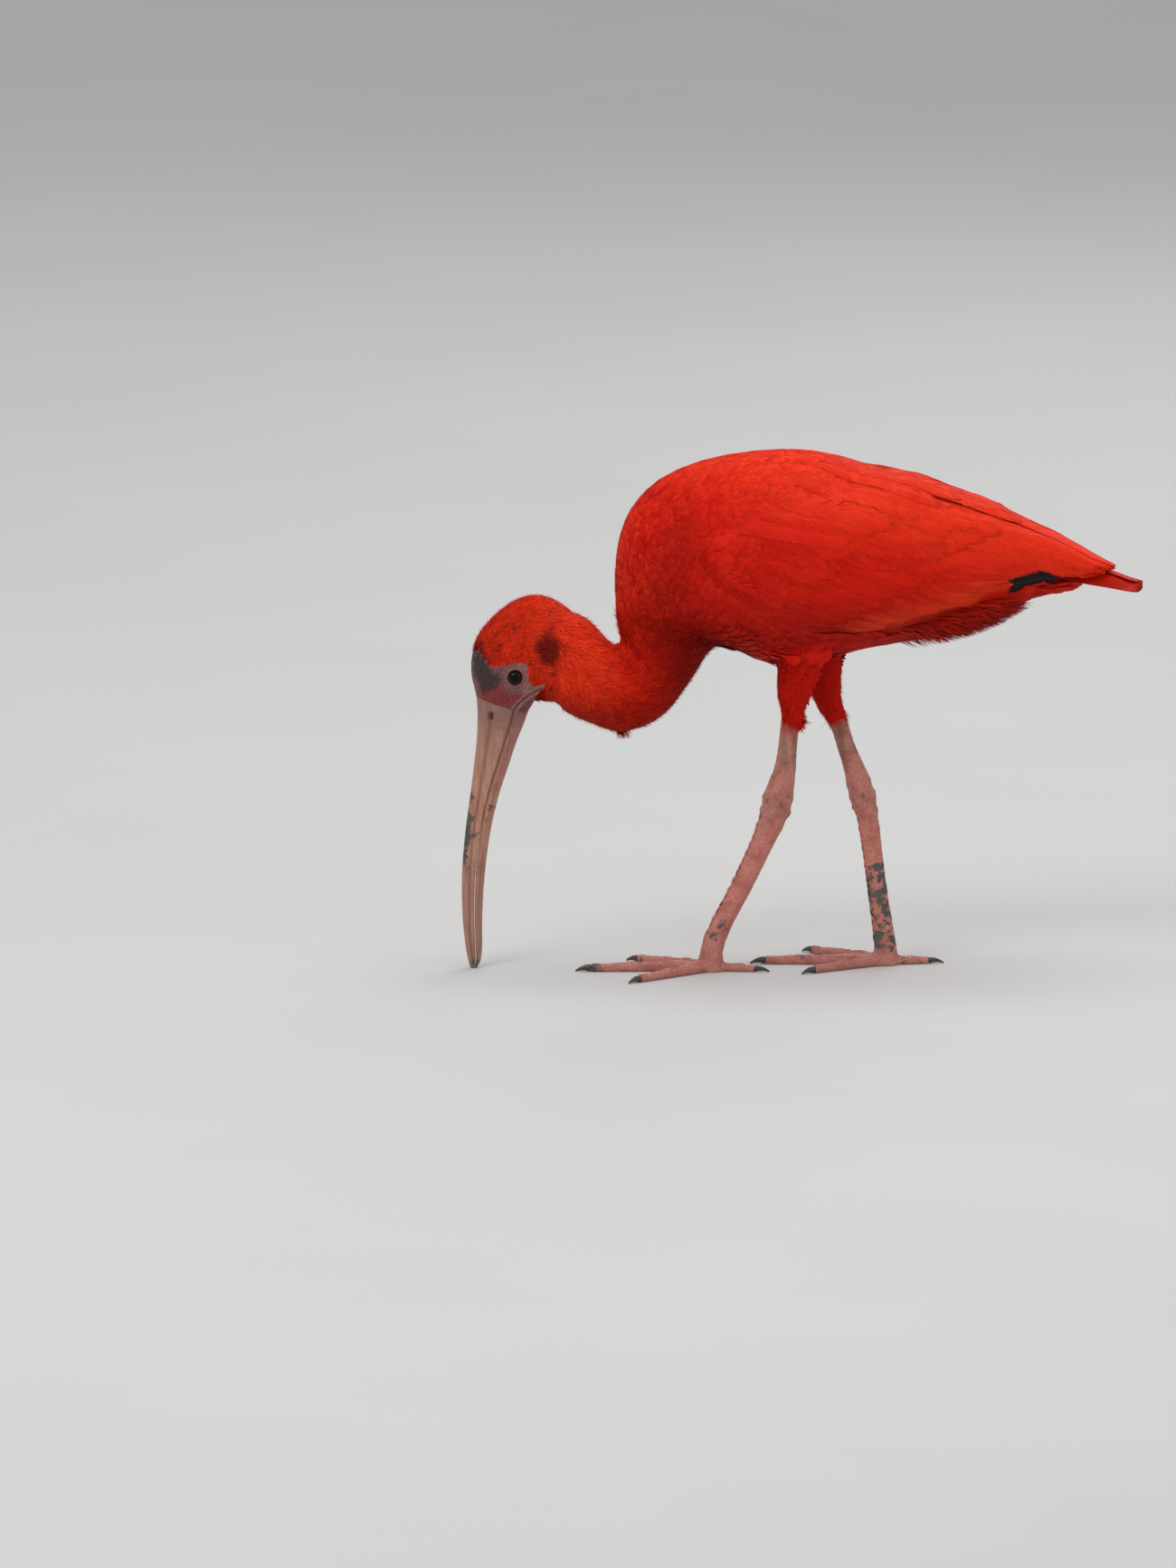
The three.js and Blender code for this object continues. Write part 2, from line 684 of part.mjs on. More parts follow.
// One vane of a tier on the wing: it stands on the core, its lower edge proud of the next feather below.
function wingVane(tier, share) {
  const between = (a, b) => [mix(a[0], b[0], share), mix(a[1], b[1], share)];
  const root = between(tier.roots[0], tier.roots[1]);
  const tip = between(tier.tips[0], tier.tips[1]);
  const [rootAngle, tipAngle] = [wingAngle(root), wingAngle(tip)];
  const grid = (liftAt) =>
    Array.from({ length: VANE_ROWS }, (_, i) => {
      const t = i / (VANE_ROWS - 1);
      const x = mix(root[0], tip[0], t);
      const angle = mix(rootAngle, tipAngle, t);
      const half = tier.half * featherOutline(t);
      const [, top, bottom, wide] = wingAt(x);
      const round = (top - bottom + 2 * wide) / 4;
      return [-1, 1].map((s) =>
        onWing(x, Math.max(angle - (s * half) / round, 0.03), liftAt(t, s)),
      );
    });
  const rise = (t) => THREE.MathUtils.smoothstep(t, 0, 0.3);
  const upper = grid((t, s) => mix(-VANE_ROOT_DEPTH, tier.lift - VANE_TILT * s, rise(t)));
  const lower = grid(() => -WING_CORE_DEPTH - VANE_ROOT_DEPTH);
  return plate(upper, lower);
}

function wingSolid(hollow) {
  const vanes = Object.values(WING_TIERS).flatMap((tier) =>
    Array.from({ length: tier.count }, (_, i) => wingVane(tier, i / (tier.count - 1))),
  );
  const beyond = new THREE.BoxGeometry(400, 40, 200);
  beyond.translate(50, 20 - GAP / 2, 240);
  return largest(wasm.Manifold.union([wingCore(), ...vanes]).subtract(solid(beyond)).subtract(hollow));
}

// Legs.
function leg(table, side) {
  const last = table.length - 1;
  const { thigh, shank, tarsus } = LEG_CUTS;
  const slack = 0.05;
  return {
    thigh: limb(table, side, 0, thigh),
    shank: limb(table, side, thigh + slack, shank),
    tarsus: limb(table, side, shank + slack, tarsus),
    ankle: limb(table, side, tarsus + slack, last),
    ...foot(table, side),
  };
}

const torsoGrown = bodySolid(CUTS.neck_lower - 1, lastStation, GAP);
const legLeft = leg(LEG_LEFT, -1);
const legRight = leg(LEG_RIGHT, 1);
const tail = tailSolid();
const wingLeft = wingSolid(torsoGrown.add(tailRoom(GAP, TAIL.tipHalf, 1)));
const wingRight = mirrored(wingLeft);

// The scene graph
const ibis = new THREE.Group();
const finish = {
  plumage: { color: COLOURS.plumage, roughness: 0.75, metalness: 0 },
  wing: { color: COLOURS.wing, roughness: 0.65, metalness: 0 },
  bill: { color: COLOURS.bill, roughness: 0.5, metalness: 0 },
  eye: { color: COLOURS.eye, roughness: 0.05, metalness: 0 },
  leg: { color: COLOURS.leg, roughness: 0.55, metalness: 0 },
  claw: { color: COLOURS.claw, roughness: 0.45, metalness: 0 },
};

function place(name, body, material) {
  const mesh = new THREE.Mesh(
    geometryOf(body),
    new THREE.MeshStandardMaterial(finish[material]),
  );
  mesh.name = name;
  ibis.add(mesh);
}

place("head", head, "plumage");
place("neck_upper", neckUpper, "plumage");
place("neck_lower", neckLower, "plumage");
place("torso", torsoWhole, "plumage");
place("bill_upper", billUpper, "bill");
place("bill_lower", billLower, "bill");
place("eye_left", eyeball, "eye");
place("eye_right", mirrored(eyeball), "eye");
place("wing_left", wingLeft, "wing");
place("wing_right", wingRight, "wing");
place("tail", tail, "wing");
for (const [side, parts] of [["left", legLeft], ["right", legRight]]) {
  place("thigh_" + side, largest(parts.thigh.subtract(torsoGrown)), "plumage");
  place("shank_" + side, parts.shank, "leg");
  place("tarsus_" + side, parts.tarsus, "leg");
  place("foot_" + side, largest(parts.hub.add(parts.ankle).subtract(parts.rooms)), "leg");
  for (const [name, each] of Object.entries(parts.toes)) {
    place(`toe_${name}_${side}`, each.tube, "leg");
    place(`claw_${name}_${side}`, each.claw, "claw");
  }
}

export default ibis;
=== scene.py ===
"""A life-size scarlet ibis that walks with its bill to the ground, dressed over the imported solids.

The bird faces -X and its left side is towards -Y. Sizes in the tables are millimetres, and every
mesh is made in metres in the frame of the solids.
"""

import math
from functools import cache

import bpy
import numpy as np
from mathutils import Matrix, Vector
from mathutils.bvhtree import BVHTree


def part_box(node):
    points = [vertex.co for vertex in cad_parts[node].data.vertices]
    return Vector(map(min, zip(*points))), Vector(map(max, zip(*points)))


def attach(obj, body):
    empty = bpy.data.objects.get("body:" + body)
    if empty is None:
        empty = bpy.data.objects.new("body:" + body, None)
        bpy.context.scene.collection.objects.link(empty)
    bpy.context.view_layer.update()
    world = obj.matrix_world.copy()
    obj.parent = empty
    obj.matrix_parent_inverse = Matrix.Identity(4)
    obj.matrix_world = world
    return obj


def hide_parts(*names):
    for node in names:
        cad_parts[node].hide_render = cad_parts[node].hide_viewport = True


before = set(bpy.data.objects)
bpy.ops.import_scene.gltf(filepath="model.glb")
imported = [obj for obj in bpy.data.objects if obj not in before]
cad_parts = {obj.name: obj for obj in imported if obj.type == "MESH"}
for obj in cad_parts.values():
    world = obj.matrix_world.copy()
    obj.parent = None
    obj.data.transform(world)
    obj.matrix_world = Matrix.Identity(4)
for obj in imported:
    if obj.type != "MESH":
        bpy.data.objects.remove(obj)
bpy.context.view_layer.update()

bl_info = {
    "name": "Scarlet ibis",
    "version": (1, 0, 0),
    "blender": (4, 5, 0),
    "location": "3D View > Sidebar > Ibis",
    "description": "Builds a life-size scarlet ibis with its feathers, bill, legs and stage",
    "category": "Add Mesh",
}

MM = 0.001
# How much of the bake map one small feather takes.
BAKE_SPOT = 0.003
SIDES = ("left", "right")
SIDE_SIGN = {"left": -1.0, "right": 1.0}
FLESH = ("head", "neck_upper", "neck_lower", "torso", "thigh_left", "thigh_right", "wing_left", "wing_right")
TOE_NAMES = ("inner", "middle", "outer", "hallux")

# Head sections from the bill base to the nape: back x, z, throat x, z, half width.
HEAD = np.array([
    (-186.9, 157.9, -157.8, 148.5, 8.8),
    (-190.1, 174.8, -154.2, 154.8, 13.6),
    (-186.4, 191.6, -152.1, 155.8, 16.8),
    (-176.0, 204.8, -150.0, 156.4, 18.0),
    (-160.9, 214.8, -147.4, 155.8, 18.6),
    (-144.8, 215.3, -144.3, 154.8, 18.8),
    (-131.3, 208.0, -138.6, 151.6, 19.2),
    (-120.4, 199.5, -129.7, 146.4, 20.0),
])

# The middle line of the body from the bill base to the tail: x, z.
MIDLINE = np.array([
    (-172.3, 153.2), (-172.1, 164.8), (-169.2, 173.7), (-163.0, 180.6), (-154.1, 185.3), (-144.5, 185.0),
    (-134.9, 179.8), (-125.0, 172.9), (-116.2, 167.2), (-107.5, 163.6), (-99.2, 163.8), (-91.8, 168.5),
    (-86.3, 175.6), (-82.2, 182.7), (-80.3, 190.9), (-78.9, 199.6), (-76.5, 207.5), (-72.3, 216.4),
    (-65.3, 224.6), (-53.8, 231.7), (-37.0, 236.0), (-13.8, 238.7), (9.6, 240.2), (33.0, 239.6),
    (59.0, 236.5), (85.8, 230.7), (108.2, 226.5), (123.9, 225.7), (150.0, 225.0), (195.0, 223.0),
])

# Bill sections from base to tip: culmen x, z, chin x, z, half width, share of the upper bill.
BILL = np.array([
    (-187.6, 163.0, -157.0, 152.0, 9.2, 0.72),
    (-186.9, 157.9, -157.8, 148.5, 8.8, 0.72),
    (-186.3, 147.4, -160.4, 141.1, 8.0, 0.72),
    (-186.7, 134.3, -164.6, 130.6, 7.2, 0.70),
    (-188.0, 121.1, -168.7, 117.9, 6.4, 0.66),
    (-190.6, 100.0, -174.2, 101.1, 5.7, 0.61),
    (-193.4, 79.0, -178.9, 81.1, 5.1, 0.60),
    (-195.3, 55.3, -182.3, 56.9, 4.7, 0.60),
    (-195.1, 31.6, -183.9, 31.6, 4.3, 0.60),
    (-193.4, 13.2, -184.0, 13.2, 3.9, 0.60),
    (-191.9, 5.0, -184.8, 5.0, 3.2, 0.60),
    (-190.9, 1.4, -186.4, 1.4, 2.1, 0.60),
    (-190.2, 0.1, -187.2, 0.1, 1.2, 0.60),
])

BILL_SIDES = 60
# Half the gap between the halves of the closed bill.
BILL_GAP = 0.16

# Folded wing along X: x, top z, bottom z, half width of the whole bird there.
WING = np.array([
    (-74.0, 250.0, 236.0, 40.0), (-70.0, 260.0, 226.0, 44.5), (-58.0, 272.0, 212.0, 49.0),
    (-38.0, 282.0, 199.0, 52.0), (-12.0, 289.5, 191.0, 54.0), (15.0, 293.5, 188.5, 54.0),
    (40.0, 294.5, 190.0, 51.5), (62.0, 290.0, 194.0, 47.0), (87.0, 280.5, 202.0, 40.5),
    (110.0, 271.6, 213.0, 33.5), (135.0, 260.4, 222.5, 26.0), (160.0, 247.1, 223.5, 18.5),
    (176.0, 238.0, 226.5, 12.5), (182.0, 233.8, 229.5, 7.5),
])

# The bare leg's way up into the thigh: node, height from the node's top (below 0) or bottom, radius.
LEG_STUB = (
    ("shank", -7, 3.6), ("shank", -3.5, 4.7), ("thigh", 4, 4.5), ("thigh", 9, 4.0), ("thigh", 15, 3.2),
)
TUBE_SIDES = 20
# What each scute's place holds besides its point.
SCUTE_FIELDS = {"out": "FLOAT_VECTOR", "along": "FLOAT_VECTOR", "size": "FLOAT"}

# Tiers of the wing from the lowest layer up: count, first and last root, first and last tip (x, z as
# seen from the side), half width, height over the skin, bow upwards.
WING_TIERS = {
    "primaries": (5, (88, 221), (98, 232), (141, 225.5), (158, 230), 5.0, 0.35, 0.0),
    "secondaries": (12, (0, 216), (66, 248), (44, 199.0), (121, 226.5), 6.4, 0.45, 0.0),
    "greater_coverts": (12, (-42, 217), (30, 264), (10, 199.0), (88, 237), 6.8, 0.75, 0.0),
    "tertials": (9, (36, 250), (58, 288), (173, 228.5), (181, 234.5), 7.6, 0.85, 1.2),
    "median_coverts": (13, (-56, 226), (2, 276), (-20, 205), (46, 262), 6.8, 1.0, 0.0),
    "lower_scapulars": (7, (-22, 256), (28, 290), (62, 243), (126, 261), 7.8, 1.2, 0.0),
    "upper_scapulars": (6, (-44, 264), (8, 298), (28, 256), (92, 277), 7.4, 1.45, 0.0),
}
BLACK_TIP = [
    (120.8, 230.2), (128, 232.4), (136.5, 234.2), (144, 231.6), (152, 228), (150, 226), (134, 223.5),
    (120.8, 221),
]
FLIGHT_TIERS = ("primaries", "secondaries", "tertials")
WING_SQUARE = 2.1
TAIL_ROOT, TAIL_TIP = 139, 195.3

# The edge of the bare face as seen from the side, from the forehead round the eye to the throat: x, z.
BARE_EDGE = [
    (-215, 176), (-191, 182), (-186, 187.5), (-182.8, 181.4), (-179, 177.6), (-174, 177.9), (-168.7, 179.8),
    (-162, 180.9), (-157.8, 179.0), (-157.2, 173.5), (-156.2, 167.8), (-153, 166.0), (-147.4, 168.8),
    (-146.4, 166.8), (-151, 162.2), (-153.4, 157), (-150, 146), (-150, 120), (-215, 120),
]
GAPE = [(-172.0, 140.0), (-166.2, 150.0), (-162.6, 155.6), (-157.0, 160.6), (-149.6, 164.8)]
DARK_PATCH = [
    (-190.5, 181), (-185.5, 188), (-182, 181), (-178, 175),
    (-174.5, 170), (-176, 164.5), (-184, 163.0), (-188, 170),
]
BEHIND_EYE = [
    (-164, 181), (-157.5, 180), (-156, 168), (-147, 168.5), (-147, 166.4), (-160, 160.5), (-161.5, 167),
]
EAR_PLACE = (-147.5, 187.6)
EYE_SEEN_AT = (-163.5, 171.5)

# The rump under the tail: x, z, half width, half depth.
RUMP = [
    (104, 225.0, 18, 17), (118, 224.4, 17, 15), (134, 224.3, 14, 10.6), (148, 224.0, 12, 5.9),
    (160, 223.6, 10, 3.6),
]


# Numbers and forms

def rows_at(table, stations):
    """Rows of a table at fractional stations, smoothly between its rows."""
    stations = np.clip(np.asarray(stations, float), 0, len(table) - 1)
    i = np.minimum(stations.astype(int), len(table) - 2)
    t = (stations - i)[:, None]
    before, after = table[np.maximum(i - 1, 0)], table[np.minimum(i + 2, len(table) - 1)]
    a, b = table[i], table[i + 1]
    return 0.5 * (2 * a + (b - before) * t + (2 * before - 5 * a + 4 * b - after) * t**2
                  + (3 * a - before - 3 * b + after) * t**3)


def ease(value, low, high):
    """A smooth step from 0 at low to 1 at high."""
    t = np.clip((value - low) / (high - low), 0, 1)
    return t * t * (3 - 2 * t)


def unit(vectors):
    return vectors / np.maximum(np.linalg.norm(vectors, axis=-1, keepdims=True), 1e-12)


def circle(count):
    """Angles once round, in even steps."""
    return np.arange(count) * 2 * math.pi / count


def spot(x, z, place, size):
    """A soft round share, 1 at its place and fading with its size."""
    return np.exp(-((x - place[0]) / size[0]) ** 2 - ((z - place[1]) / size[1]) ** 2)


def rounded(value, square):
    """A sine or cosine bent so that a circle becomes a rounded square."""
    return np.sign(value) * np.abs(value) ** (2 / square)


def inside_by(points, corners):
    """How far points of the plane lie inside a closed outline, negative outside."""
    corners = np.asarray(corners, float)
    a, b = corners, np.roll(corners, -1, axis=0)
    edge = b - a
    rel = points[:, None, :] - a[None]
    t = np.clip((rel * edge).sum(-1) / (edge**2).sum(-1), 0, 1)
    away = np.linalg.norm(rel - edge * t[..., None], axis=-1).min(1)
    x, z = points[:, 0][:, None], points[:, 1][:, None]
    spans = (a[:, 1] > z) != (b[:, 1] > z)
    rise = np.where(np.abs(edge[:, 1]) < 1e-9, 1e-9, edge[:, 1])
    crossings = (spans & (x < edge[:, 0] * (z - a[:, 1]) / rise + a[:, 0])).sum(1)
    return np.where(crossings % 2 == 1, away, -away)


def away_from_line(points, line):
    line = np.asarray(line, float)
    a, edge = line[:-1], line[1:] - line[:-1]
    rel = points[:, None, :] - a[None]
    t = np.clip((rel * edge).sum(-1) / (edge**2).sum(-1), 0, 1)
    return np.linalg.norm(rel - edge * t[..., None], axis=-1).min(1)


def lattice_noise(points, scale, seed):
    """Smooth noise from -1 to 1 over points, at a scale in metres."""
    rng = np.random.default_rng(seed)
    total = np.zeros(len(points))
    waves, height = 7, 1.6
    for _ in range(waves):
        wave = unit(rng.normal(size=3)) * 2 * math.pi / scale * rng.uniform(0.6, 1.5)
        total += np.sin(points @ wave + rng.uniform(0, 2 * math.pi))
    return total / waves * height


class Lie:
    """The lie of the coat: which way the feathers point, and how far along the bird a place is."""

    def __init__(self):
        self.line = rows_at(MIDLINE, np.linspace(0, len(MIDLINE) - 1, 240)) * MM
        self.tangent = unit(np.gradient(self.line, axis=0))
        self.reach = np.concatenate([[0], np.cumsum(np.linalg.norm(np.diff(self.line, axis=0), axis=1))])

    def at(self, points):
        flow, along = np.empty((len(points), 3)), np.empty(len(points))
        at_once = 20000
        for start in range(0, len(points), at_once):
            part = slice(start, start + at_once)
            gap = points[part][:, None, [0, 2]] - self.line[None]
            near = 1 / ((gap**2).sum(-1) + 2e-5) ** 2.5
            near /= near.sum(1, keepdims=True)
            flat = near @ self.tangent
            flow[part] = np.stack([flat[:, 0], np.zeros(len(flat)), flat[:, 1]], axis=1)
            along[part] = near @ self.reach
        x, z = points[:, 0] / MM, points[:, 2] / MM
        thigh = (ease(z, 184, 168) * (x > -32) * (x < 36))[:, None]
        flow = flow * (1 - thigh) + np.array((0.5, 0.0, -1.0)) * thigh
        return unit(flow), along

    def around(self, points, along):
        """Angle round the middle line, 0 at the belly, for the unwrap."""
        line = np.concatenate([self.line, self.tangent], axis=1)
        x, z, tx, tz = (np.interp(along, self.reach, column) for column in line.T)
        up = (points[:, 0] - x) * -tz + (points[:, 2] - z) * tx
        return np.arctan2(points[:, 1], -up)


LIE = Lie()


def unwrap(points):
    """Each place's spot on the unwrapped skin: how far along the bird, and how far round it."""
    along = LIE.at(points)[1]
    turned = LIE.around(points, along) / (2 * math.pi) + 0.5
    return np.stack([0.01 + 0.98 * along / LIE.reach[-1], 0.01 + 0.98 * turned], axis=1)


# Meshes

def placed(name, data):
    """A new object of the scene that holds the given mesh, lamp or camera."""
    obj = bpy.data.objects.new(name, data)
    bpy.context.scene.collection.objects.link(obj)
    return obj


def add_values(mesh, **layers):
    """One attribute per layer on the mesh's points: a colour where it has three columns."""
    for key, layer in layers.items():
        colour = np.ndim(layer) == 2
        attribute = mesh.attributes.new(key, "FLOAT_COLOR" if colour else "FLOAT", "POINT")
        if colour:
            layer = np.concatenate([layer, np.ones((len(layer), 1))], axis=1)
        attribute.data.foreach_set("color" if colour else "value", np.asarray(layer, np.float32).ravel())


def make_mesh(name, verts, faces, smooth=True, uvs=None, values=None):
    """A mesh object from arrays. faces is an array of quads or of triangles."""
    faces = np.asarray(faces)
    mesh = bpy.data.meshes.new(name)
    mesh.vertices.add(len(verts))
    mesh.vertices.foreach_set("co", np.asarray(verts, np.float32).ravel())
    corners = faces.shape[1]
    mesh.loops.add(faces.size)
    mesh.loops.foreach_set("vertex_index", faces.ravel().astype(np.int32))
    mesh.polygons.add(len(faces))
    mesh.polygons.foreach_set("loop_start", np.arange(0, faces.size, corners, dtype=np.int32))
    mesh.polygons.foreach_set("use_smooth", np.full(len(faces), smooth))
    for key, layer in (uvs or {}).items():
        uv = mesh.uv_layers.new(name=key)
        uv.data.foreach_set("uv", np.asarray(layer, np.float32)[faces.ravel()].ravel())
    add_values(mesh, **(values or {}))
    mesh.update(calc_edges=True)
    mesh.validate()
    return placed(name, mesh)


def grid_faces(rows, columns, closed=False, flip=False):
    """Quads over a grid of points. A closed grid joins its last column to its first."""
    r = np.arange(rows - 1)[:, None]
    c = np.arange(columns if closed else columns - 1)[None]
    d = (c + 1) % columns
    quads = np.stack([r * columns + c, r * columns + d, (r + 1) * columns + d, (r + 1) * columns + c], -1)
    quads = quads.reshape(-1, 4)
    return quads[:, ::-1] if flip else quads


def capped_faces(rings, sides):
    """Triangles over closed rings of points and two end points that follow them."""
    quads = grid_faces(rings, sides, closed=True)
    n = rings * sides
    i = np.arange(sides)
    j = (i + 1) % sides
    start, end = np.full(sides, n), np.full(sides, n + 1)
    caps = [np.stack([start, j, i], 1), np.stack([end, n - sides + i, n - sides + j], 1)]
    return np.concatenate([quads[:, [0, 1, 2]], quads[:, [0, 2, 3]], *caps])


def point_field(obj, field):
    out = np.empty(len(obj.data.vertices) * 3, np.float32)
    obj.data.vertices.foreach_get(field, out)
    return out.reshape(-1, 3).astype(float)


def points_of(obj):
    return point_field(obj, "co")


def normals_of(obj):
    return point_field(obj, "normal")


def triangles_of(mesh):
    mesh.calc_loop_triangles()
    tris = np.empty(len(mesh.loop_triangles) * 3, np.int32)
    mesh.loop_triangles.foreach_get("vertices", tris)
    return tris.reshape(-1, 3)


def set_points(obj, co):
    obj.data.vertices.foreach_set("co", np.asarray(co, np.float32).ravel())
    obj.data.update()


def merged_copy(name, nodes, swell, voxel, smoothing, extras=()):
    """One smooth closed surface round copies of CAD nodes and some extra meshes."""
    verts, faces, start = [], [], 0
    for node in nodes:
        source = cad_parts[node]
        co = point_field(source, "co").astype(np.float32)
        merged, back = np.unique(np.round(co, 7), axis=0, return_inverse=True)
        verts.append(merged)
        faces.append(back.ravel()[triangles_of(source.data)] + start)
        start += len(merged)
    joined = make_mesh(name + "_raw", np.concatenate(verts), np.concatenate(faces))
    set_points(joined, points_of(joined) + normals_of(joined) * swell)
    if extras:
        with bpy.context.temp_override(active_object=joined, selected_editable_objects=[joined, *extras]):
            bpy.ops.object.join()
    remesh = joined.modifiers.new("Remesh", "REMESH")
    remesh.mode = "VOXEL"
    remesh.voxel_size = voxel
    relax = joined.modifiers.new("Relax", "SMOOTH")
    relax.iterations = smoothing
    relax.factor = 0.5
    return settled(joined, name)


def settled(obj, name):
    """The evaluated shape of an object as a plain mesh object, in place of that object."""
    shape = obj.evaluated_get(bpy.context.evaluated_depsgraph_get())
    mesh = bpy.data.meshes.new_from_object(shape)
    mesh.name = name
    made = placed(name, mesh)
    bpy.data.objects.remove(obj)
    mesh.polygons.foreach_set("use_smooth", np.full(len(mesh.polygons), True))
    mesh.update()
    return made


def signed_volume(co, faces):
    """Six times a closed shape's volume, negative where its faces point inwards."""
    tris = faces if faces.shape[1] == 3 else np.concatenate([faces[:, [0, 1, 2]], faces[:, [0, 2, 3]]])
    a, b, c = (co - co.mean(0))[tris].transpose(1, 0, 2)
    return (a * np.cross(b, c)).sum()


def make_outward(obj):
    """Turn a closed shape's faces outwards if its volume comes out negative."""
    _, co, tris = surface_of(obj)
    if signed_volume(co, tris) < 0:
        obj.data.flip_normals()
    return obj


def surface_of(obj):
    """A mesh's search tree, points and triangles."""
    tris, co = triangles_of(obj.data), points_of(obj)
    return BVHTree.FromPolygons(co.tolist(), tris.tolist()), co, tris


def add_bake_map(obj):
    """The unwrap of the skin's own shape as the piece's bake map."""
    uv = obj.data.uv_layers.new(name="OFBake")
    index = np.empty(len(obj.data.loops), np.int32)
    obj.data.loops.foreach_get("vertex_index", index)
    uv.data.foreach_set("uv", unwrap(points_of(obj))[index].astype(np.float32).ravel())


# Markings and painted shade

LEG_SALMON = np.array((0.62, 0.23, 0.18))
BILL_TAN = np.array((0.48, 0.235, 0.170))
WING_BLACK = np.array((0.006, 0.006, 0.008))
SCARLET = np.array((0.80, 0.009, 0.002))
ORANGE_RED = np.array((0.96, 0.042, 0.010))
# Crimson is both the plumage's deep red and the painted shade of breast, belly, shoulder and side.
CRIMSON = np.array((0.32, 0.003, 0.001))
DEEP_RED = np.array((0.17, 0.006, 0.005))
SOOT = np.array((0.022, 0.018, 0.020))
SKIN_PINK = np.array((0.33, 0.125, 0.105))
SKIN_GREY = np.array((0.235, 0.15, 0.135))
SKIN_PURPLE = np.array((0.34, 0.045, 0.045))
EYE_RING = np.array((0.27, 0.150, 0.150))
GAPE_PALE = np.array((0.50, 0.26, 0.21))
GAPE_SHADE = np.array((0.10, 0.03, 0.03))
SKIN_TAN = np.array((0.42, 0.20, 0.165))
THROAT_GREY = np.array((0.16, 0.085, 0.095))
LID_EDGE = np.array((0.17, 0.085, 0.075))
BAND_ORANGE = np.array((0.98, 0.058, 0.012))
LEG_PINK = np.array((0.46, 0.20, 0.17))
LEG_OLIVE = np.array((0.30, 0.175, 0.125))
LEG_RED = np.array((0.56, 0.07, 0.045))


def blend_to(colour, other, share):
    return colour + (other - colour) * np.asarray(share)[:, None]


def painted(base, layers):
    """A base colour with others laid over it, each by its share at every place."""
    for paint, share in layers:
        base = blend_to(base, paint, share)
    return base


def dark_patch(points, coarse, fine):
    """How far places lie inside the ragged dark patch before the eye, in millimetres."""
    ragged = lattice_noise(points, 0.004, 31) * coarse + lattice_noise(points, 0.0017, 36) * fine
    return inside_by(points[:, [0, 2]] / MM, DARK_PATCH) + ragged


def plumage_colour(points):
    """The feather colour of places on the bird with its painted light and shade, the same for skin and coat.
    """
    x, y, z = points.T / MM
    patchy = lattice_noise(points, 0.030, 3) * 0.5 + lattice_noise(points, 0.011, 4) * 0.3
    streaky = lattice_noise(points, 0.0075, 33) * 0.6 + lattice_noise(points, 0.0028, 34) * 0.5
    stroke = lattice_noise(points * np.array((1.0, 1.0, 0.6)), 0.0032, 35)
    smudge = lattice_noise(points, 0.010, 41) * lattice_noise(points, 0.0055, 42)
    head, fore = ease(x, -95, -125), ease(x, -70, -100)
    outer = np.abs(y) > 12
    ear = np.linalg.norm((points[:, [0, 2]] / MM - EAR_PLACE) / (1.0, 1.15), axis=1)
    ear += lattice_noise(points, 0.006, 21) * 1.2
    colour = painted(SCARLET, (
        # Patchy orange tone, and a lighter, more orange top that is painted light on the lit back.
        (ORANGE_RED, np.clip(0.12 + 0.22 * patchy + 0.6 * ease(z + 0.25 * x, 248, 292), 0, 1)),
        (ORANGE_RED, 0.75 * head),
        # Breast and belly darker below, partly their own deeper red and partly painted shade; painted shade
        # in the hollow before the wing, on the shoulder and on the side.
        (CRIMSON, 0.85 * (ease(z, 232, 184) * ease(x, -104, -70))),
        (CRIMSON, 0.55 * (spot(x, z, (-84, 214), (16, 24)) * outer)),
        (CRIMSON, 0.45 * (spot(x, z, (-76, 246), (11, 26)) * outer)),
        (CRIMSON, 0.24 * spot(x, z, (-38, 238), (44, 30))),
        # Thighs.
        (SCARLET, 0.7 * (ease(z, 198, 178) * ease(x, -40, -30) * ease(x, 48, 38))),
        # The mottled neck and head, with dark strokes on the crown.
        (CRIMSON, (0.5 - 0.25 * head) * fore * ease(streaky, 0.05, 0.65)),
        (ORANGE_RED * 1.05, 0.5 * fore * ease(-streaky, 0.05, 0.65)),
        (DEEP_RED, 0.7 * ease(x, -132, -142) * ease(stroke, 0.58, 0.78)),
        # Under the tail darker, partly its own deep red and partly painted shade under wing and tail; the
        # throat and the ear.
        (DEEP_RED, 0.65 * (ease(x, 60, 110) * ease(z - (214 + (x - 100) * 0.16), 6, -8))),
        (CRIMSON, 0.6 * (ease(x, -80, -100) * ease(z, 168 - 0.1 * (x + 100), 148))),
        (DEEP_RED, 0.88 * ease(ear + 1.6 * streaky, 9.5, 5.5) * (np.abs(y) > 8)),
        # The dark patch before the eye and smudges of mud on the crown.
        (SOOT, 0.85 * ease(dark_patch(points, 2.6, 1.5), -3.5, 2.0)),
        (SOOT, 0.55 * ease(smudge, 0.30, 0.62) * ease(x, -118, -140) * ease(z, 178, 190)),
    ))
    return np.clip(colour, 0, 1)


def bare_share(points):
    """How far a place of the head is bare skin, from 0 to 1."""
    flat = points[:, [0, 2]] / MM
    return ease(inside_by(flat, BARE_EDGE) + lattice_noise(points, 0.004, 51) * 0.5, -0.6, 0.9)


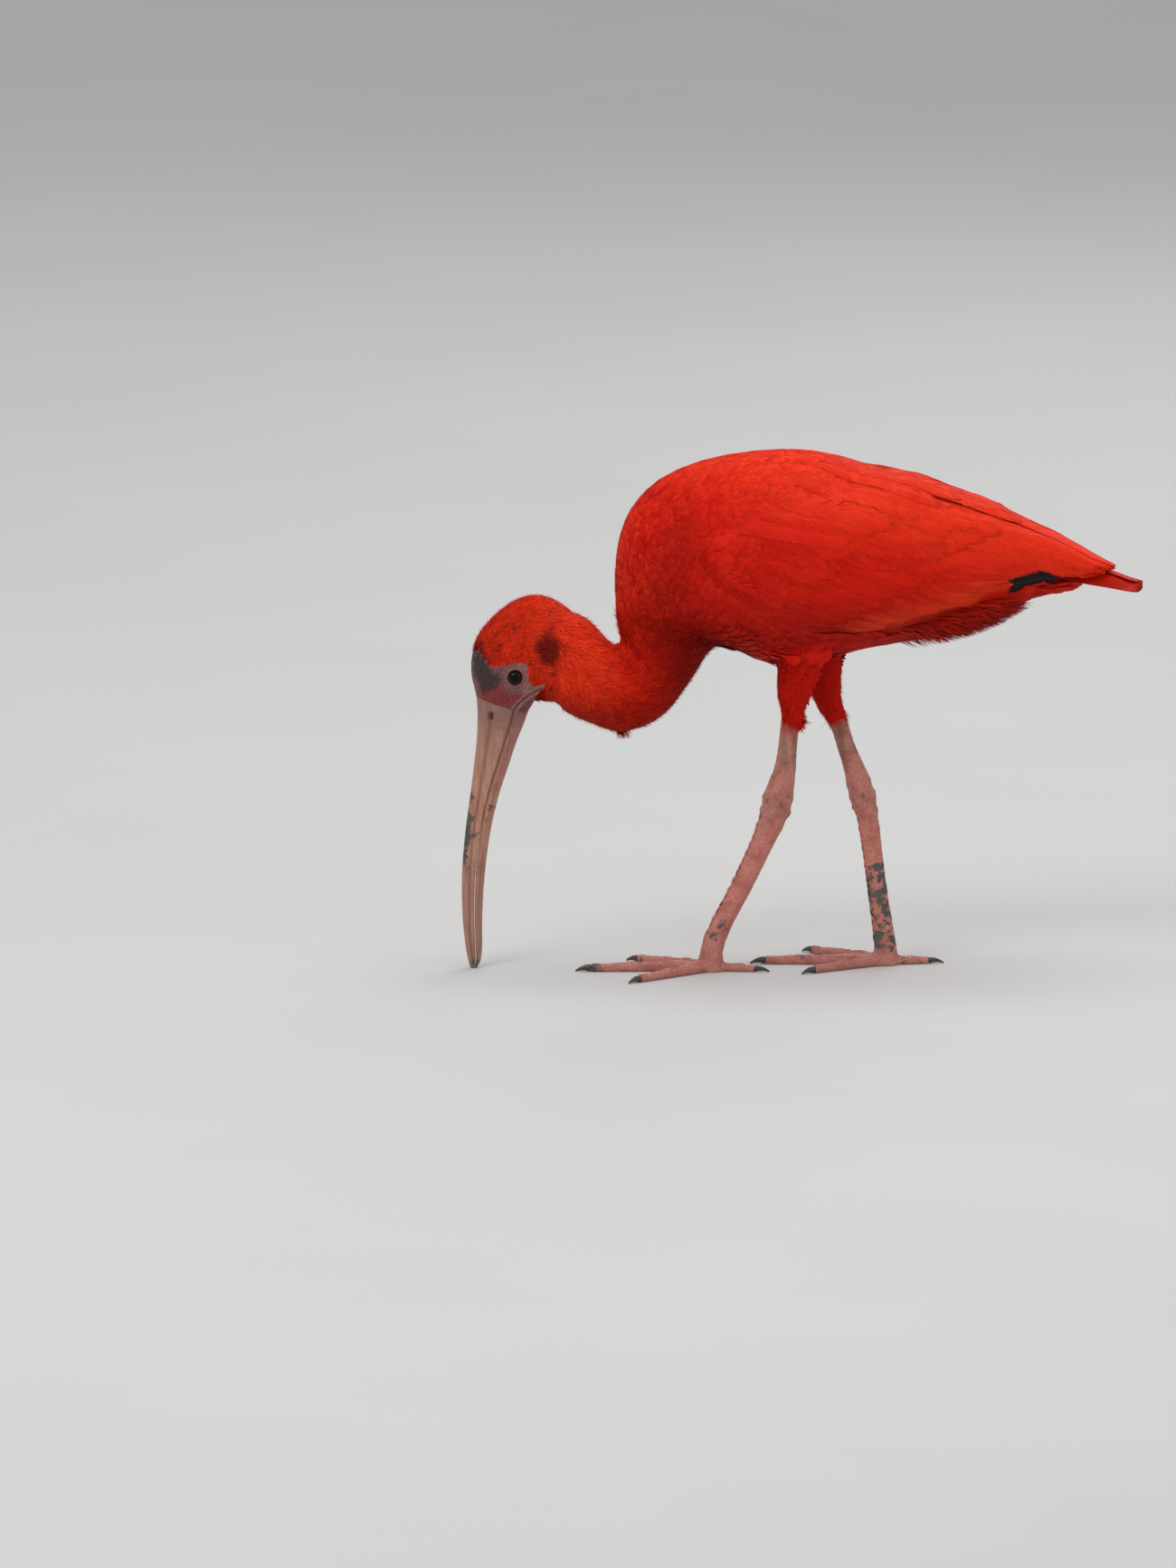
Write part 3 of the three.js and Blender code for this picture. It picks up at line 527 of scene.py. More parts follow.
def face_colour(points):
    """The colour of the bare face: ring, lores, cheek, forehead, throat and dark patch."""
    flat = points[:, [0, 2]] / MM
    x, z = flat.T
    mottled = lattice_noise(points, 0.0035, 61) * 0.5 + lattice_noise(points, 0.0014, 62) * 0.5
    colour = painted(SKIN_PURPLE, (
        (EYE_RING, 0.8 * (1 - ease(np.linalg.norm(flat - EYE_SEEN_AT, axis=1), 8.5, 12.5))),
        (SKIN_GREY, 0.6 * (ease(x, -171.5, -175) * ease(z, 165, 170))),
        (SKIN_TAN, 0.8 * ease(inside_by(flat, BEHIND_EYE), -1.2, 0.8)),
        (SKIN_GREY, 0.7 * ease(x - (-190 + (180 - z) * 0.12), 3.5, 0.5)),
        (THROAT_GREY, 0.6 * (ease(z, 160, 152) * ease(x, -170, -163))),
        (SOOT, 0.85 * ease(dark_patch(points, 1.9, 1.2), -3.2, 2.2)),
    ))
    return np.clip(colour * (1 + 0.22 * mottled)[:, None], 0, 1)


# The coat

def scatter(surface, spacing, keep, rng):
    """Places spread over a surface about a spacing apart, with their normals."""
    _, co, tris = surface
    corners = co[tris]
    cross = np.cross(corners[:, 1] - corners[:, 0], corners[:, 2] - corners[:, 0])
    weight = np.linalg.norm(cross, axis=1) / 2 * keep(corners.mean(1))
    count = int(weight.sum() / spacing**2 * 1.15)
    pick = rng.choice(len(tris), size=count, p=weight / weight.sum())
    u, v = rng.random(count), rng.random(count)
    over = u + v > 1
    u[over], v[over] = 1 - u[over], 1 - v[over]
    a, b, c = corners[pick].transpose(1, 0, 2)
    points = a + (b - a) * u[:, None] + (c - a) * v[:, None]
    # Thin the crowd: one place in each small cell.
    cell = np.floor(points / (spacing * 0.62)).astype(np.int64)
    _, first = np.unique(cell, axis=0, return_index=True)
    first.sort()
    return points[first], unit(cross[pick])[first]


def smooth_normals(surface, points, obj_normals):
    """The surface's smooth normals at places near it."""
    tree, _, tris = surface
    nearest = [tree.find_nearest(point)[2] for point in points]
    return unit(obj_normals[tris[nearest]].mean(1))


def strip_mesh(name, places, roots, colours, rng, material, flip=False):
    """One mesh of small strips. Places come by strip, by row from root to tip and by column."""
    count, rows, columns = places.shape[:3]
    per = rows * columns
    one = grid_faces(rows, columns, flip=flip)
    faces = (one[None] + (np.arange(count) * per)[:, None, None]).reshape(-1, 4)
    v, u = np.meshgrid(np.linspace(0, 1, rows), np.linspace(0, 1, columns), indexing="ij")
    uv = np.stack([u, v], -1).reshape(1, per, 2)
    spots = unwrap(roots)[:, None] + (uv - 0.5) * BAKE_SPOT
    values = {"marking": np.repeat(colours, per, axis=0), "tint": np.repeat(rng.random(count), per),
              "reach": np.tile(v.ravel(), count)}
    feather = np.broadcast_to(uv, (count, per, 2)).reshape(-1, 2)
    obj = make_mesh(name, places.reshape(-1, 3), faces, values=values,
                    uvs={"OFBake": spots.reshape(-1, 2), "feather": feather})
    return finish_piece(obj, material)


def tufts(name, surface, points, normals, flow, length, half, profile, rng, material,
          columns=2, lift=0.0, rise=0.0, arch=0.0, sink=0.4, swerve=0.12, follow=True):
    """One mesh of many small vanes or barbs that lie along the flow.

    Places, length and half width are in metres. Lift, rise, arch and sink are millimetres over the skin.
    """
    flow = flow - normals * (flow * normals).sum(1, keepdims=True)
    # Where the flow runs into the skin, its way over it is unclear.
    clear = np.linalg.norm(flow, axis=1) > 0.35
    points, normals, flow, length, half = (each[clear] for each in (points, normals, flow, length, half))
    count, rows = len(points), len(profile)
    flow = unit(flow)
    side = np.cross(normals, flow)
    turn = rng.normal(0, swerve, count)[:, None]
    flow, side = unit(flow + side * turn), unit(side - flow * turn)
    drop = np.zeros(count)
    if follow:
        tips = points + flow * length[:, None]
        near, normal = np.array([surface[0].find_nearest(tip)[:2] for tip in tips]).transpose(1, 0, 2)
        drop = np.clip(((tips - near) * normal).sum(1), -0.8 * MM, length * 0.5)
    t = np.linspace(0, 1, rows)[None, :, None, None]
    across = np.linspace(-1, 1, columns)[None, None, :, None]
    height = (lift * t + rise * t**2 - sink * (1 - t) ** 2 + arch * (1 - across**2)) * MM
    height = height - drop[:, None, None, None] * t**2
    width = half[:, None, None, None] * np.asarray(profile)[None, :, None, None]
    places = (points[:, None, None] + flow[:, None, None] * length[:, None, None, None] * t
              + side[:, None, None] * width * across + normals[:, None, None] * height)
    return strip_mesh(name, places, points, plumage_colour(points), rng, material, flip=True)


def wing_rows(x):
    stations = np.interp(x, WING[:, 0], np.arange(len(WING)))
    return rows_at(WING, np.atleast_1d(stations))


def on_wing(x, angle, lift, sign):
    """A place on the folded wing, in metres, from X and the angle down from the back."""
    row = wing_rows(x)
    top, bottom, half = row[:, 1], row[:, 2], row[:, 3]
    y = sign * (half + lift) * rounded(np.sin(angle), WING_SQUARE)
    z = (top + bottom) / 2 + ((top - bottom) / 2 + lift) * rounded(np.cos(angle), WING_SQUARE)
    return np.stack([np.broadcast_to(x, z.shape), y, z], axis=1) * MM


def wing_angle(x, z):
    row = wing_rows(x)[0]
    height = np.clip((2 * z - row[1] - row[2]) / (row[1] - row[2]), -0.99, 0.99)
    return math.acos(rounded(height, 4 / WING_SQUARE))


def feather_width(t, point=0.72, root=0.45):
    """Half width along a flight feather as a share of its widest."""
    start = root + (1 - root) * ease(t, -0.1, 0.4)
    end = np.sqrt(np.clip(1 - ((t - point) / (1.005 - point)) ** 2, 0, 1))
    return start * np.where(t < point, 1, end)


def closed_vanes(name, vanes, thickness, material):
    """Thin closed feathers. Each vane is its upper grid of places, their ups, their colours and its tint."""
    layers = {"verts": [], "feather": [], "marking": [], "tint": [], "reach": []}
    faces, start = [], 0
    for grid, up, colour, tint in vanes:
        rows, columns = grid.shape[:2]
        n = rows * columns
        v, u = np.meshgrid(np.linspace(0, 1, rows), np.linspace(0, 1, columns), indexing="ij")
        edge = np.clip(1 - np.abs(u * 2 - 1) ** 4, 0.15, 1) * np.clip(1.1 - v, 0.3, 1)
        under = grid - up * thickness * edge[..., None]
        top = grid_faces(rows, columns)
        rim = np.concatenate([
            np.arange(columns), np.arange(2 * columns - 1, n, columns),
            np.arange(n - 2, n - columns - 1, -1), np.arange(n - 2 * columns, 0, -columns)])
        after = np.roll(rim, -1)
        wall = np.stack([rim, rim + n, after + n, after], 1)
        one = np.concatenate([top, top[:, ::-1] + n, wall])
        if np.dot(np.cross(grid[1, 1] - grid[1, 0], grid[2, 0] - grid[1, 0]), up[1, 1]) < 0:
            one = one[:, ::-1]
        faces.append(one + start)
        start += 2 * n
        layers["verts"] += [grid.reshape(-1, 3), under.reshape(-1, 3)]
        layers["feather"] += [np.stack([u, v], -1).reshape(-1, 2)] * 2
        layers["marking"] += [colour.reshape(-1, 3)] * 2
        layers["tint"].append(np.full(2 * n, tint))
        layers["reach"] += [v.ravel()] * 2
    verts, feather, marking, tint, reach = (np.concatenate(layer) for layer in layers.values())
    obj = make_mesh(name, verts, np.concatenate(faces), uvs={"OFBake": unwrap(verts), "feather": feather},
                    values={"marking": marking, "tint": tint, "reach": reach})
    return finish_piece(obj, material)


def finish_piece(obj, material, replaces=()):
    obj.data.materials.clear()
    obj.data.materials.append(material)
    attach(obj, "root")
    if replaces:
        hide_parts(*replaces)
    return obj


# Materials

class Nodes:
    """Adds nodes to a tree, their sockets set to constants or joined to other nodes' outputs."""

    def __init__(self, tree):
        self.tree = tree

    def feed(self, socket, value):
        if isinstance(value, bpy.types.NodeSocket):
            self.tree.links.new(value, socket)
        else:
            socket.default_value = (*value[:3], 1) if socket.type == "RGBA" else value

    def add(self, kind, inputs=None, **settings):
        node = self.tree.nodes.new(kind)
        for key, value in settings.items():
            setattr(node, key, value)
        for key, value in (inputs or {}).items():
            self.feed(node.inputs[key], value)
        return node

    def math(self, operation, a, b=None, clamp=False):
        inputs = {0: a} if b is None else {0: a, 1: b}
        return self.add("ShaderNodeMath", inputs, operation=operation, use_clamp=clamp).outputs[0]

    def times(self, a, b, clamp=False):
        return self.math("MULTIPLY", a, b, clamp)

    def plus(self, a, b):
        return self.math("ADD", a, b)

    def minus(self, a, b):
        return self.math("SUBTRACT", a, b)

    def noise(self, vector, scale, detail=3.0, rough=0.55):
        inputs = {"Vector": vector, "Scale": scale, "Detail": detail, "Roughness": rough}
        return self.add("ShaderNodeTexNoise", inputs).outputs["Fac"]

    def mix(self, share, a, b, kind="MIX"):
        """A mix of two colours, which are sockets 6 and 7 of the node."""
        return self.add("ShaderNodeMix", {0: share, 6: a, 7: b}, data_type="RGBA", blend_type=kind).outputs[2]

    def tinged(self, colour, by):
        return self.mix(1.0, colour, by, "MULTIPLY")

    def ramp(self, value, low, high):
        inputs = {"Value": value, "From Min": low, "From Max": high}
        return self.add("ShaderNodeMapRange", inputs, interpolation_type="SMOOTHSTEP").outputs["Result"]

    def cells(self, vector, scale):
        """The distance to the edge of each cell of a cell pattern."""
        inputs = {"Vector": vector, "Scale": scale}
        return self.add("ShaderNodeTexVoronoi", inputs, feature="DISTANCE_TO_EDGE").outputs["Distance"]

    def place(self):
        return self.add("ShaderNodeTexCoord").outputs["Object"]

    def attribute(self, name, output="Color"):
        return self.add("ShaderNodeAttribute", attribute_name=name).outputs[output]

    def group(self, tree, **inputs):
        return self.add("ShaderNodeGroup", inputs, node_tree=tree).outputs


def shader_group(name, inputs, outputs, build):
    """A node group whose inputs are vectors where they have no default, and otherwise values."""
    tree = bpy.data.node_groups.new(name, "ShaderNodeTree")
    for label, default in inputs.items():
        kind = "NodeSocketVector" if default is None else "NodeSocketFloat"
        socket = tree.interface.new_socket(label, in_out="INPUT", socket_type=kind)
        if default is not None:
            socket.default_value = default
    for label in outputs:
        tree.interface.new_socket(label, in_out="OUTPUT", socket_type="NodeSocketFloat")
    nodes = Nodes(tree)
    given, out = nodes.add("NodeGroupInput").outputs, nodes.add("NodeGroupOutput").inputs
    for label, value in build(nodes, given).items():
        nodes.feed(out[label], value)
    return tree


def barbs_build(n, given):
    """Fine barbs that slant out from the shaft of a vane, from its own UV map."""
    split = n.add("ShaderNodeSeparateXYZ", {0: given["Map"]}).outputs
    off = n.math("ABSOLUTE", n.minus(split["X"], 0.5))
    slant = n.minus(n.times(split["Y"], given["Count"]), n.times(off, given["Slant"]))
    wobble = n.times(n.noise(given["Map"], 9.0), 1.6)
    wave = n.math("SINE", n.times(n.plus(slant, wobble), 6.2832))
    shaft = n.ramp(off, 0.035, 0.0)
    # Shade is painted shade in the grooves between the barbs.
    return {"Height": n.plus(n.times(wave, 0.5), n.times(shaft, 1.5)),
            "Shade": n.plus(n.times(wave, 0.5), 0.5), "Shaft": shaft}


def mud_build(n, given):
    """Dried mud in blots and fine spatter."""
    fine = n.noise(given["Place"], 420.0, 3.0, 0.6)
    lump = n.plus(n.times(n.noise(given["Place"], 150.0, 4.0, 0.6), 0.8), n.times(fine, 0.2))
    low = n.minus(0.78, n.times(given["Amount"], 0.45))
    mask = n.times(n.minus(lump, low), 14.0, clamp=True)
    return {"Mask": mask, "Height": n.times(mask, n.plus(fine, 0.5))}


def skin_build(n, given):
    """Small folds and pores of bare skin."""
    crease = n.times(n.cells(given["Place"], given["Scale"]), 3.0, clamp=True)
    fine = n.noise(given["Place"], 900.0, 2.0)
    return {"Height": n.plus(crease, n.times(fine, 0.35)), "Crease": crease}


# Feather finishes: barbs along a vane, their slant, bump in metres, how strong the painted light on the tips
# is, how deep the painted shade between barbs is, and how far one feather's tint lies from the next.
PLUMAGE = {
    "Body feathers": (16, 5, 0.00008, 0.25, 0.15, 1.0),
    "Loose barbs": (1, 0, 0.00002, 0.15, 0.0, 1.0),
    "Neck barbs": (1, 0, 0.00002, 0.3, 0.0, 2.2),
    "Head barbs": (1, 0, 0.00002, 0.35, 0.22, 2.4),
    "Wing feathers": (70, 16, 0.00008, 0.1, 0.2, 1.0),
}
# Bare skin finishes: bump in metres and share of a moist coat.
BARE_SKIN = {"Face skin": (0.00035, 0.05), "Lid skin": (0.0002, 0.1)}


class Materials:
    """All materials and shader groups of the bird and its stage, each built once."""

    def __init__(self):
        self.barbs = shader_group("Barbs", {"Map": None, "Count": 20.0, "Slant": 6.0},
                                  ("Height", "Shade", "Shaft"), barbs_build)
        self.mud = shader_group("Mud", {"Place": None, "Amount": 0.3}, ("Mask", "Height"), mud_build)
        inputs = {"Place": None, "Scale": 600.0}
        self.skin = shader_group("Skin folds", inputs, ("Height", "Crease"), skin_build)

    def start(self, name, roughness, **constants):
        material = bpy.data.materials.new(name)
        material.use_nodes = True
        material.node_tree.nodes.clear()
        n = Nodes(material.node_tree)
        shader = n.add("ShaderNodeBsdfPrincipled", {"Roughness": roughness})
        for key, value in constants.items():
            n.feed(shader.inputs[key.replace("_", " ")], value)
        n.add("ShaderNodeOutputMaterial", {"Surface": shader.outputs[0]})
        return material, n, shader.inputs

    def finish(self, n, shader, colour, height=None, distance=0.0, roughness=None):
        n.feed(shader["Base Color"], colour)
        if roughness is not None:
            n.feed(shader["Roughness"], roughness)
        if height is not None:
            bump = n.add("ShaderNodeBump", {"Distance": distance, "Strength": 1.0, "Height": height})
            n.feed(shader["Normal"], bump.outputs[0])

    @cache
    def plumage(self, name):
        count, slant, distance, tip_light, shade, spread = PLUMAGE[name]
        material, n, shader = self.start(name, 0.62, Sheen_Weight=0.07, Sheen_Roughness=0.45,
                                         Sheen_Tint=(1.0, 0.16, 0.08), Specular_IOR_Level=0.11)
        uv = n.add("ShaderNodeUVMap", uv_map="feather").outputs[0]
        barbs = n.group(self.barbs, Map=uv, Count=count, Slant=slant)
        base, tint, reach = n.attribute("marking"), n.attribute("tint", "Fac"), n.attribute("reach", "Fac")
        low, high = 0.14 * spread, 0.10 * spread
        colour = n.mix(tint, n.tinged(base, (1 - low, 1 - 1.4 * low, 1 - 1.4 * low)),
                       n.tinged(base, (1 + high, 1 + 3.0 * high, 1 + 2.5 * high)))
        # Painted shade at each feather's root under the feathers that overlap it, painted light on its tip,
        # and painted shade between the barbs.
        for share, by in (
            (n.times(n.minus(1.0, reach), 0.35), (0.7, 0.6, 0.6)),
            (n.times(n.times(reach, reach), tip_light), (1.2, 1.7, 1.5)),
            (n.times(barbs["Shade"], shade), (0.6, 0.5, 0.5)),
        ):
            colour = n.mix(share, colour, n.tinged(colour, by))
        self.finish(n, shader, colour, barbs["Height"], distance)
        return material

    @cache
    def bare_skin(self, name):
        distance, coat = BARE_SKIN[name]
        shine = {"Specular_IOR_Level": 0.35, "Coat_Weight": coat, "Coat_Roughness": 0.35}
        material, n, shader = self.start(name, 0.5, **shine)
        place, base = n.place(), n.attribute("marking")
        folds = n.group(self.skin, Place=place, Scale=620.0)
        # Painted shade darkens the creases between the skin's folds.
        colour = n.mix(folds["Crease"], n.tinged(base, (0.55, 0.48, 0.48)), base)
        rough = n.plus(n.times(n.noise(place, 300.0), 0.25), 0.38)
        self.finish(n, shader, colour, folds["Height"], distance, rough)
        return material

    @cache
    def down(self):
        material, n, shader = self.start("Down", 0.8, Specular_IOR_Level=0.1, Sheen_Weight=0.2,
                                         Sheen_Tint=(1.0, 0.3, 0.2))
        base = n.attribute("marking")
        fine = n.noise(n.place(), 700.0, 4.0, 0.7)
        self.finish(n, shader, n.mix(fine, n.tinged(base, (0.45, 0.35, 0.35)), base), fine, 0.0006)
        return material

    @cache
    def bill(self):
        material, n, shader = self.start("Bill horn", 0.42, Specular_IOR_Level=0.45, Coat_Weight=0.08,
                                         Coat_Roughness=0.3)
        place, base = n.place(), n.attribute("marking")
        along = n.add("ShaderNodeMapping", {"Scale": (1.0, 1.0, 0.12), "Vector": place}).outputs[0]
        streaks, blotch = n.noise(along, 520.0, 4.0, 0.6), n.noise(place, 70.0, 3.0)
        colour = n.mix(n.ramp(streaks, 0.35, 0.7), n.tinged(base, (0.78, 0.72, 0.70)), base)
        colour = n.mix(n.ramp(blotch, 0.45, 0.75), colour, n.tinged(colour, (0.84, 0.74, 0.70)))
        mud = n.group(self.mud, Place=place, Amount=n.attribute("mud", "Fac"))
        colour = n.mix(mud["Mask"], colour, n.mix(blotch, (0.055, 0.045, 0.040), (0.13, 0.115, 0.10)))
        rough = n.plus(0.36, n.plus(n.times(streaks, 0.16), n.times(mud["Mask"], 0.35)))
        height = n.plus(n.times(streaks, 0.35), n.times(mud["Height"], 1.2))
        self.finish(n, shader, colour, height, 0.0004, rough)
        return material

    @cache
    def leg(self):
        material, n, shader = self.start("Leg skin", 0.5, Specular_IOR_Level=0.4)
        place, base = n.place(), n.attribute("marking")
        edge = n.times(n.cells(place, 520.0), 5.0, clamp=True)
        patches = n.noise(place, 110.0, 3.0)
        colour = n.mix(n.ramp(patches, 0.4, 0.7), base, n.tinged(base, (0.80, 0.66, 0.62)))
        colour = n.mix(edge, n.tinged(colour, (0.80, 0.70, 0.68)), colour)
        mud = n.group(self.mud, Place=place, Amount=n.attribute("mud", "Fac"))
        colour = n.mix(mud["Mask"], colour, n.mix(patches, (0.035, 0.030, 0.028), (0.16, 0.15, 0.145)))
        rough = n.plus(0.42, n.times(mud["Mask"], 0.35))
        self.finish(n, shader, colour, n.plus(n.times(edge, 0.35), mud["Height"]), 0.0003, rough)
        return material

    @cache
    def claw(self):
        material, n, shader = self.start("Claw horn", 0.38, Coat_Weight=0.1, Coat_Roughness=0.25)
        grain = n.noise(n.place(), 600.0, 3.0)
        self.finish(n, shader, n.mix(grain, (0.020, 0.016, 0.014), (0.075, 0.060, 0.050)), grain, 0.0002)
        return material

    @cache
    def eye(self):
        material, n, shader = self.start("Eye", 0.15, Specular_IOR_Level=0.08, Coat_Weight=0.2,
                                         Coat_Roughness=0.03, Coat_IOR=1.3)
        ring = n.attribute("iris", "Fac")
        fibres = n.noise(n.place(), 2600.0, 3.0)
        colour = n.mix(fibres, (0.006, 0.004, 0.003), (0.026, 0.012, 0.008))
        colour = n.mix(n.ramp(ring, 0.50, 0.46), colour, (0.002, 0.002, 0.003))
        colour = n.mix(n.ramp(ring, 0.80, 0.92), colour, (0.008, 0.006, 0.007))
        self.finish(n, shader, colour, fibres, 0.00002)
        return material

    def floor(self):
        material, n, shader = self.start("Studio floor", 0.85, Specular_IOR_Level=0.15)
        fine = n.noise(n.place(), 3.0, 2.0)
        self.finish(n, shader, n.mix(fine, (0.57, 0.57, 0.565), (0.61, 0.61, 0.605)))
        return material


MATERIALS = Materials()
# The skin's surface and normals and the head's surface, for the coat that grows on them.
SHARED = {}
# Lamps: name, place and size in metres, share of the key light's power.
LAMPS = (
    ("key_light", (-1.6, -2.2, 2.6), 1.8, 1.0),
    ("top_light", (0.3, 0.3, 3.0), 2.2, 0.8),
    ("fill_light", (2.6, -1.6, 1.4), 2.0, 0.28),
    ("back_light", (0.8, 2.6, 1.8), 2.0, 0.35),
)


# Pieces

def build_stage(settings):
    scene = bpy.context.scene
    scene.view_settings.view_transform = "Standard"
    scene.view_settings.look = "None"
    corners, radius = 64, 9.0
    angles = circle(corners)
    rim = np.stack([np.cos(angles) * radius, np.sin(angles) * radius, np.zeros(corners)], 1)
    after = 1 + (np.arange(corners) + 1) % corners
    faces = np.stack([np.zeros(corners, int), 1 + np.arange(corners), after], 1)
    floor = make_mesh("studio_floor", np.concatenate([[(0, 0, 0)], rim]), faces, smooth=False)
    floor.data.materials.append(MATERIALS.floor())

    world = bpy.data.worlds.new("Studio")
    world.use_nodes = True
    n = Nodes(world.node_tree)
    split = n.add("ShaderNodeSeparateXYZ", {0: n.add("ShaderNodeTexCoord").outputs["Generated"]})
    background = world.node_tree.nodes["Background"].inputs
    sky = n.mix(n.ramp(split.outputs["Z"], -0.1, 0.9), (0.62, 0.62, 0.62), (1.0, 1.0, 1.0))
    n.feed(background["Color"], sky)
    background["Strength"].default_value = settings.ambient
    scene.world = world

    aim = Vector((0.0, 0.0, 0.15))
    for name, spot_from, size, share in LAMPS:
        lamp = bpy.data.lights.new(name, "AREA")
        lamp.shape = "DISK"
        lamp.size = size
        lamp.energy = settings.key_power * share
        light = placed(name, lamp)
        light.location = spot_from
        light.rotation_euler = (aim - Vector(spot_from)).to_track_quat("-Z", "Y").to_euler()

    camera = placed("camera", bpy.data.cameras.new("camera"))
    tilt = math.radians(settings.elevation)
    target = Vector((settings.target_x, 0, settings.target_z))
    camera.location = target + Vector((0, -math.cos(tilt), math.sin(tilt))) * settings.distance
    camera.rotation_euler = (math.radians(90) - tilt, 0, 0)
    camera.data.sensor_fit = "VERTICAL"
    camera.data.sensor_height = 36
    camera.data.lens = camera.data.sensor_height * settings.distance / settings.frame_height
    camera.data.clip_end = 60
    scene.camera = camera


def closed_tube(name, rings, ends):
    """A closed loft through rings of points in millimetres, with a point at each end."""
    verts = np.concatenate([*rings, np.array(ends)]) * MM
    return make_outward(make_mesh(name, verts, capped_faces(len(rings), len(rings[0]))))


def rump_tube():
    """Ovals across the bird that carry the skin on under the tail."""
    angles = circle(TUBE_SIDES)
    rings = [np.stack([np.full(TUBE_SIDES, x), wide * np.sin(angles), z + deep * np.cos(angles)], 1)
             for x, z, wide, deep in RUMP]
    return closed_tube("rump", rings, [(x, 0, z) for x, z, _, _ in (RUMP[0], RUMP[-1])])


def coat_depth(points):
    """How far the skin lies inside the solids, in metres."""
    x, _, z = points.T / MM
    above = np.where(x > -40, ease(z, 160, 180), 1.0)
    return (0.9 + 1.3 * ease(x, -126, -92) * above) * MM


def build_skin(settings):
    swell = 0.4 * MM
    skin = merged_copy("skin", FLESH, swell, settings.skin_voxel * MM, 14, extras=[rump_tube()])
    co = points_of(skin)
    set_points(skin, co - normals_of(skin) * (coat_depth(co) + swell)[:, None])
    add_values(skin.data, marking=plumage_colour(points_of(skin)))
    add_bake_map(skin)
    finish_piece(skin, MATERIALS.down(), FLESH)
    SHARED["skin"] = surface_of(skin)
    SHARED["skin_normals"] = normals_of(skin)


def eye_place(side):
    """The middle and radius of the solids' eye."""
    low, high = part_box("eye_" + side)
    return np.array((low + high) / 2), (high - low).x / 2


def head_grid(rows, columns):
    """Rings of the head from the bill to the nape, a little inside the solid, in metres."""
    stations = np.linspace(0.02, 5.6, rows)
    row = rows_at(HEAD, stations)
    back, throat, half = row[:, [0, 1]], row[:, [2, 3]], row[:, 4]
    sunk = 1.9 * ease(stations, 4.4, 5.6) + 0.25
    centre, reach = (back + throat) / 2, (back - throat) / 2
    reach = reach * (1 - sunk / np.linalg.norm(reach, axis=1))[:, None]
    angles, square = circle(columns), 2.1
    cos, sin = rounded(np.cos(angles), square), rounded(np.sin(angles), square)
    flat = centre[:, None] + reach[:, None] * cos[None, :, None]
    return np.stack([flat[..., 0], (half - sunk)[:, None] * sin[None], flat[..., 1]], -1).reshape(-1, 3) * MM


def build_face():
    """The bare face and the skin under the head's feathers, finer than the rest of the skin."""
    rows, columns, eye_hole = 150, 260, 4.6
    verts, faces = head_grid(rows, columns), grid_faces(rows, columns, closed=True)
    if signed_volume(verts, faces) < 0:
        faces = faces[:, ::-1]
    smooth = make_mesh("face_plain", verts, faces)
    co, normal = points_of(smooth), normals_of(smooth)
    bpy.data.objects.remove(smooth)
    flat = co[:, [0, 2]] / MM
    bare = bare_share(co)
    from_gape = away_from_line(flat, GAPE)
    lateral = np.abs(co[:, 1]) > 4 * MM
    groove = -0.55 * np.exp(-(from_gape / 0.55) ** 2) + 0.45 * np.exp(-((from_gape - 1.7) / 0.9) ** 2)
    folds = lattice_noise(co, 0.0042, 71) * 0.16 + lattice_noise(co, 0.0017, 72) * 0.08
    eye_spot = eye_place("left")[0][[0, 2]] / MM
    from_eye = np.linalg.norm(flat - eye_spot, axis=1)
    rings = 0.16 * np.sin(from_eye * 2.6) * np.exp(-((from_eye - 8) / 3.0) ** 2)
    swell = bare * (folds + rings * lateral + groove * lateral) + 0.25 * bare
    co = co + normal * (swell * MM)[:, None]
    feathered = plumage_colour(co)
    marking = painted(feathered + (face_colour(co) - feathered) * bare[:, None], (
        (GAPE_PALE, 0.8 * (lateral * bare) * np.exp(-((from_gape - 1.2) / 0.8) ** 2)),
        # Painted shade in the gape's groove.
        (GAPE_SHADE, 0.45 * (lateral * bare) * np.exp(-(from_gape / 0.5) ** 2)),
    ))
    whole = make_mesh("face_whole", co, faces)
    SHARED["head"] = surface_of(whole)
    bpy.data.objects.remove(whole)
    # The skin is open over each eye, where the lids take over.
    middle = co[faces].mean(1)[:, [0, 2]] / MM
    keep = np.linalg.norm(middle - eye_spot, axis=1) > eye_hole
    face = make_mesh("face_skin", co, faces[keep], values={"marking": marking}, uvs={"OFBake": unwrap(co)})
    finish_piece(face, MATERIALS.bare_skin("Face skin"))


def build_eyes():
    rows, columns = 40, 64
    polar, turn = np.linspace(0, math.pi, rows)[1:-1, None], circle(columns)[None]
    bulge = 1 + 0.05 * np.exp(-(polar / 0.62) ** 2)
    # The iris pattern runs over the front half, and the back half is past its rim.
    ring = np.repeat(np.sin(polar) * np.where(polar < math.pi / 2, 1, 9), columns)
    iris = np.clip(np.concatenate([ring, [0, 9]]), 0, 2)
    for side in SIDES:
        centre, radius = eye_place(side)
        sign = SIDE_SIGN[side]
        across, up = np.sin(polar) * np.cos(turn) * bulge, np.sin(polar) * np.sin(turn) * bulge
        ball = np.stack(np.broadcast_arrays(across, sign * np.cos(polar) * bulge, up), -1)
        verts = np.concatenate([ball.reshape(-1, 3), [(0, sign * 1.05, 0), (0, -sign, 0)]]) * radius + centre
        eye = make_mesh("eyeball_" + side, verts, capped_faces(len(polar), columns), values={"iris": iris})
        finish_piece(make_outward(eye), MATERIALS.eye(), ["eye_" + side])


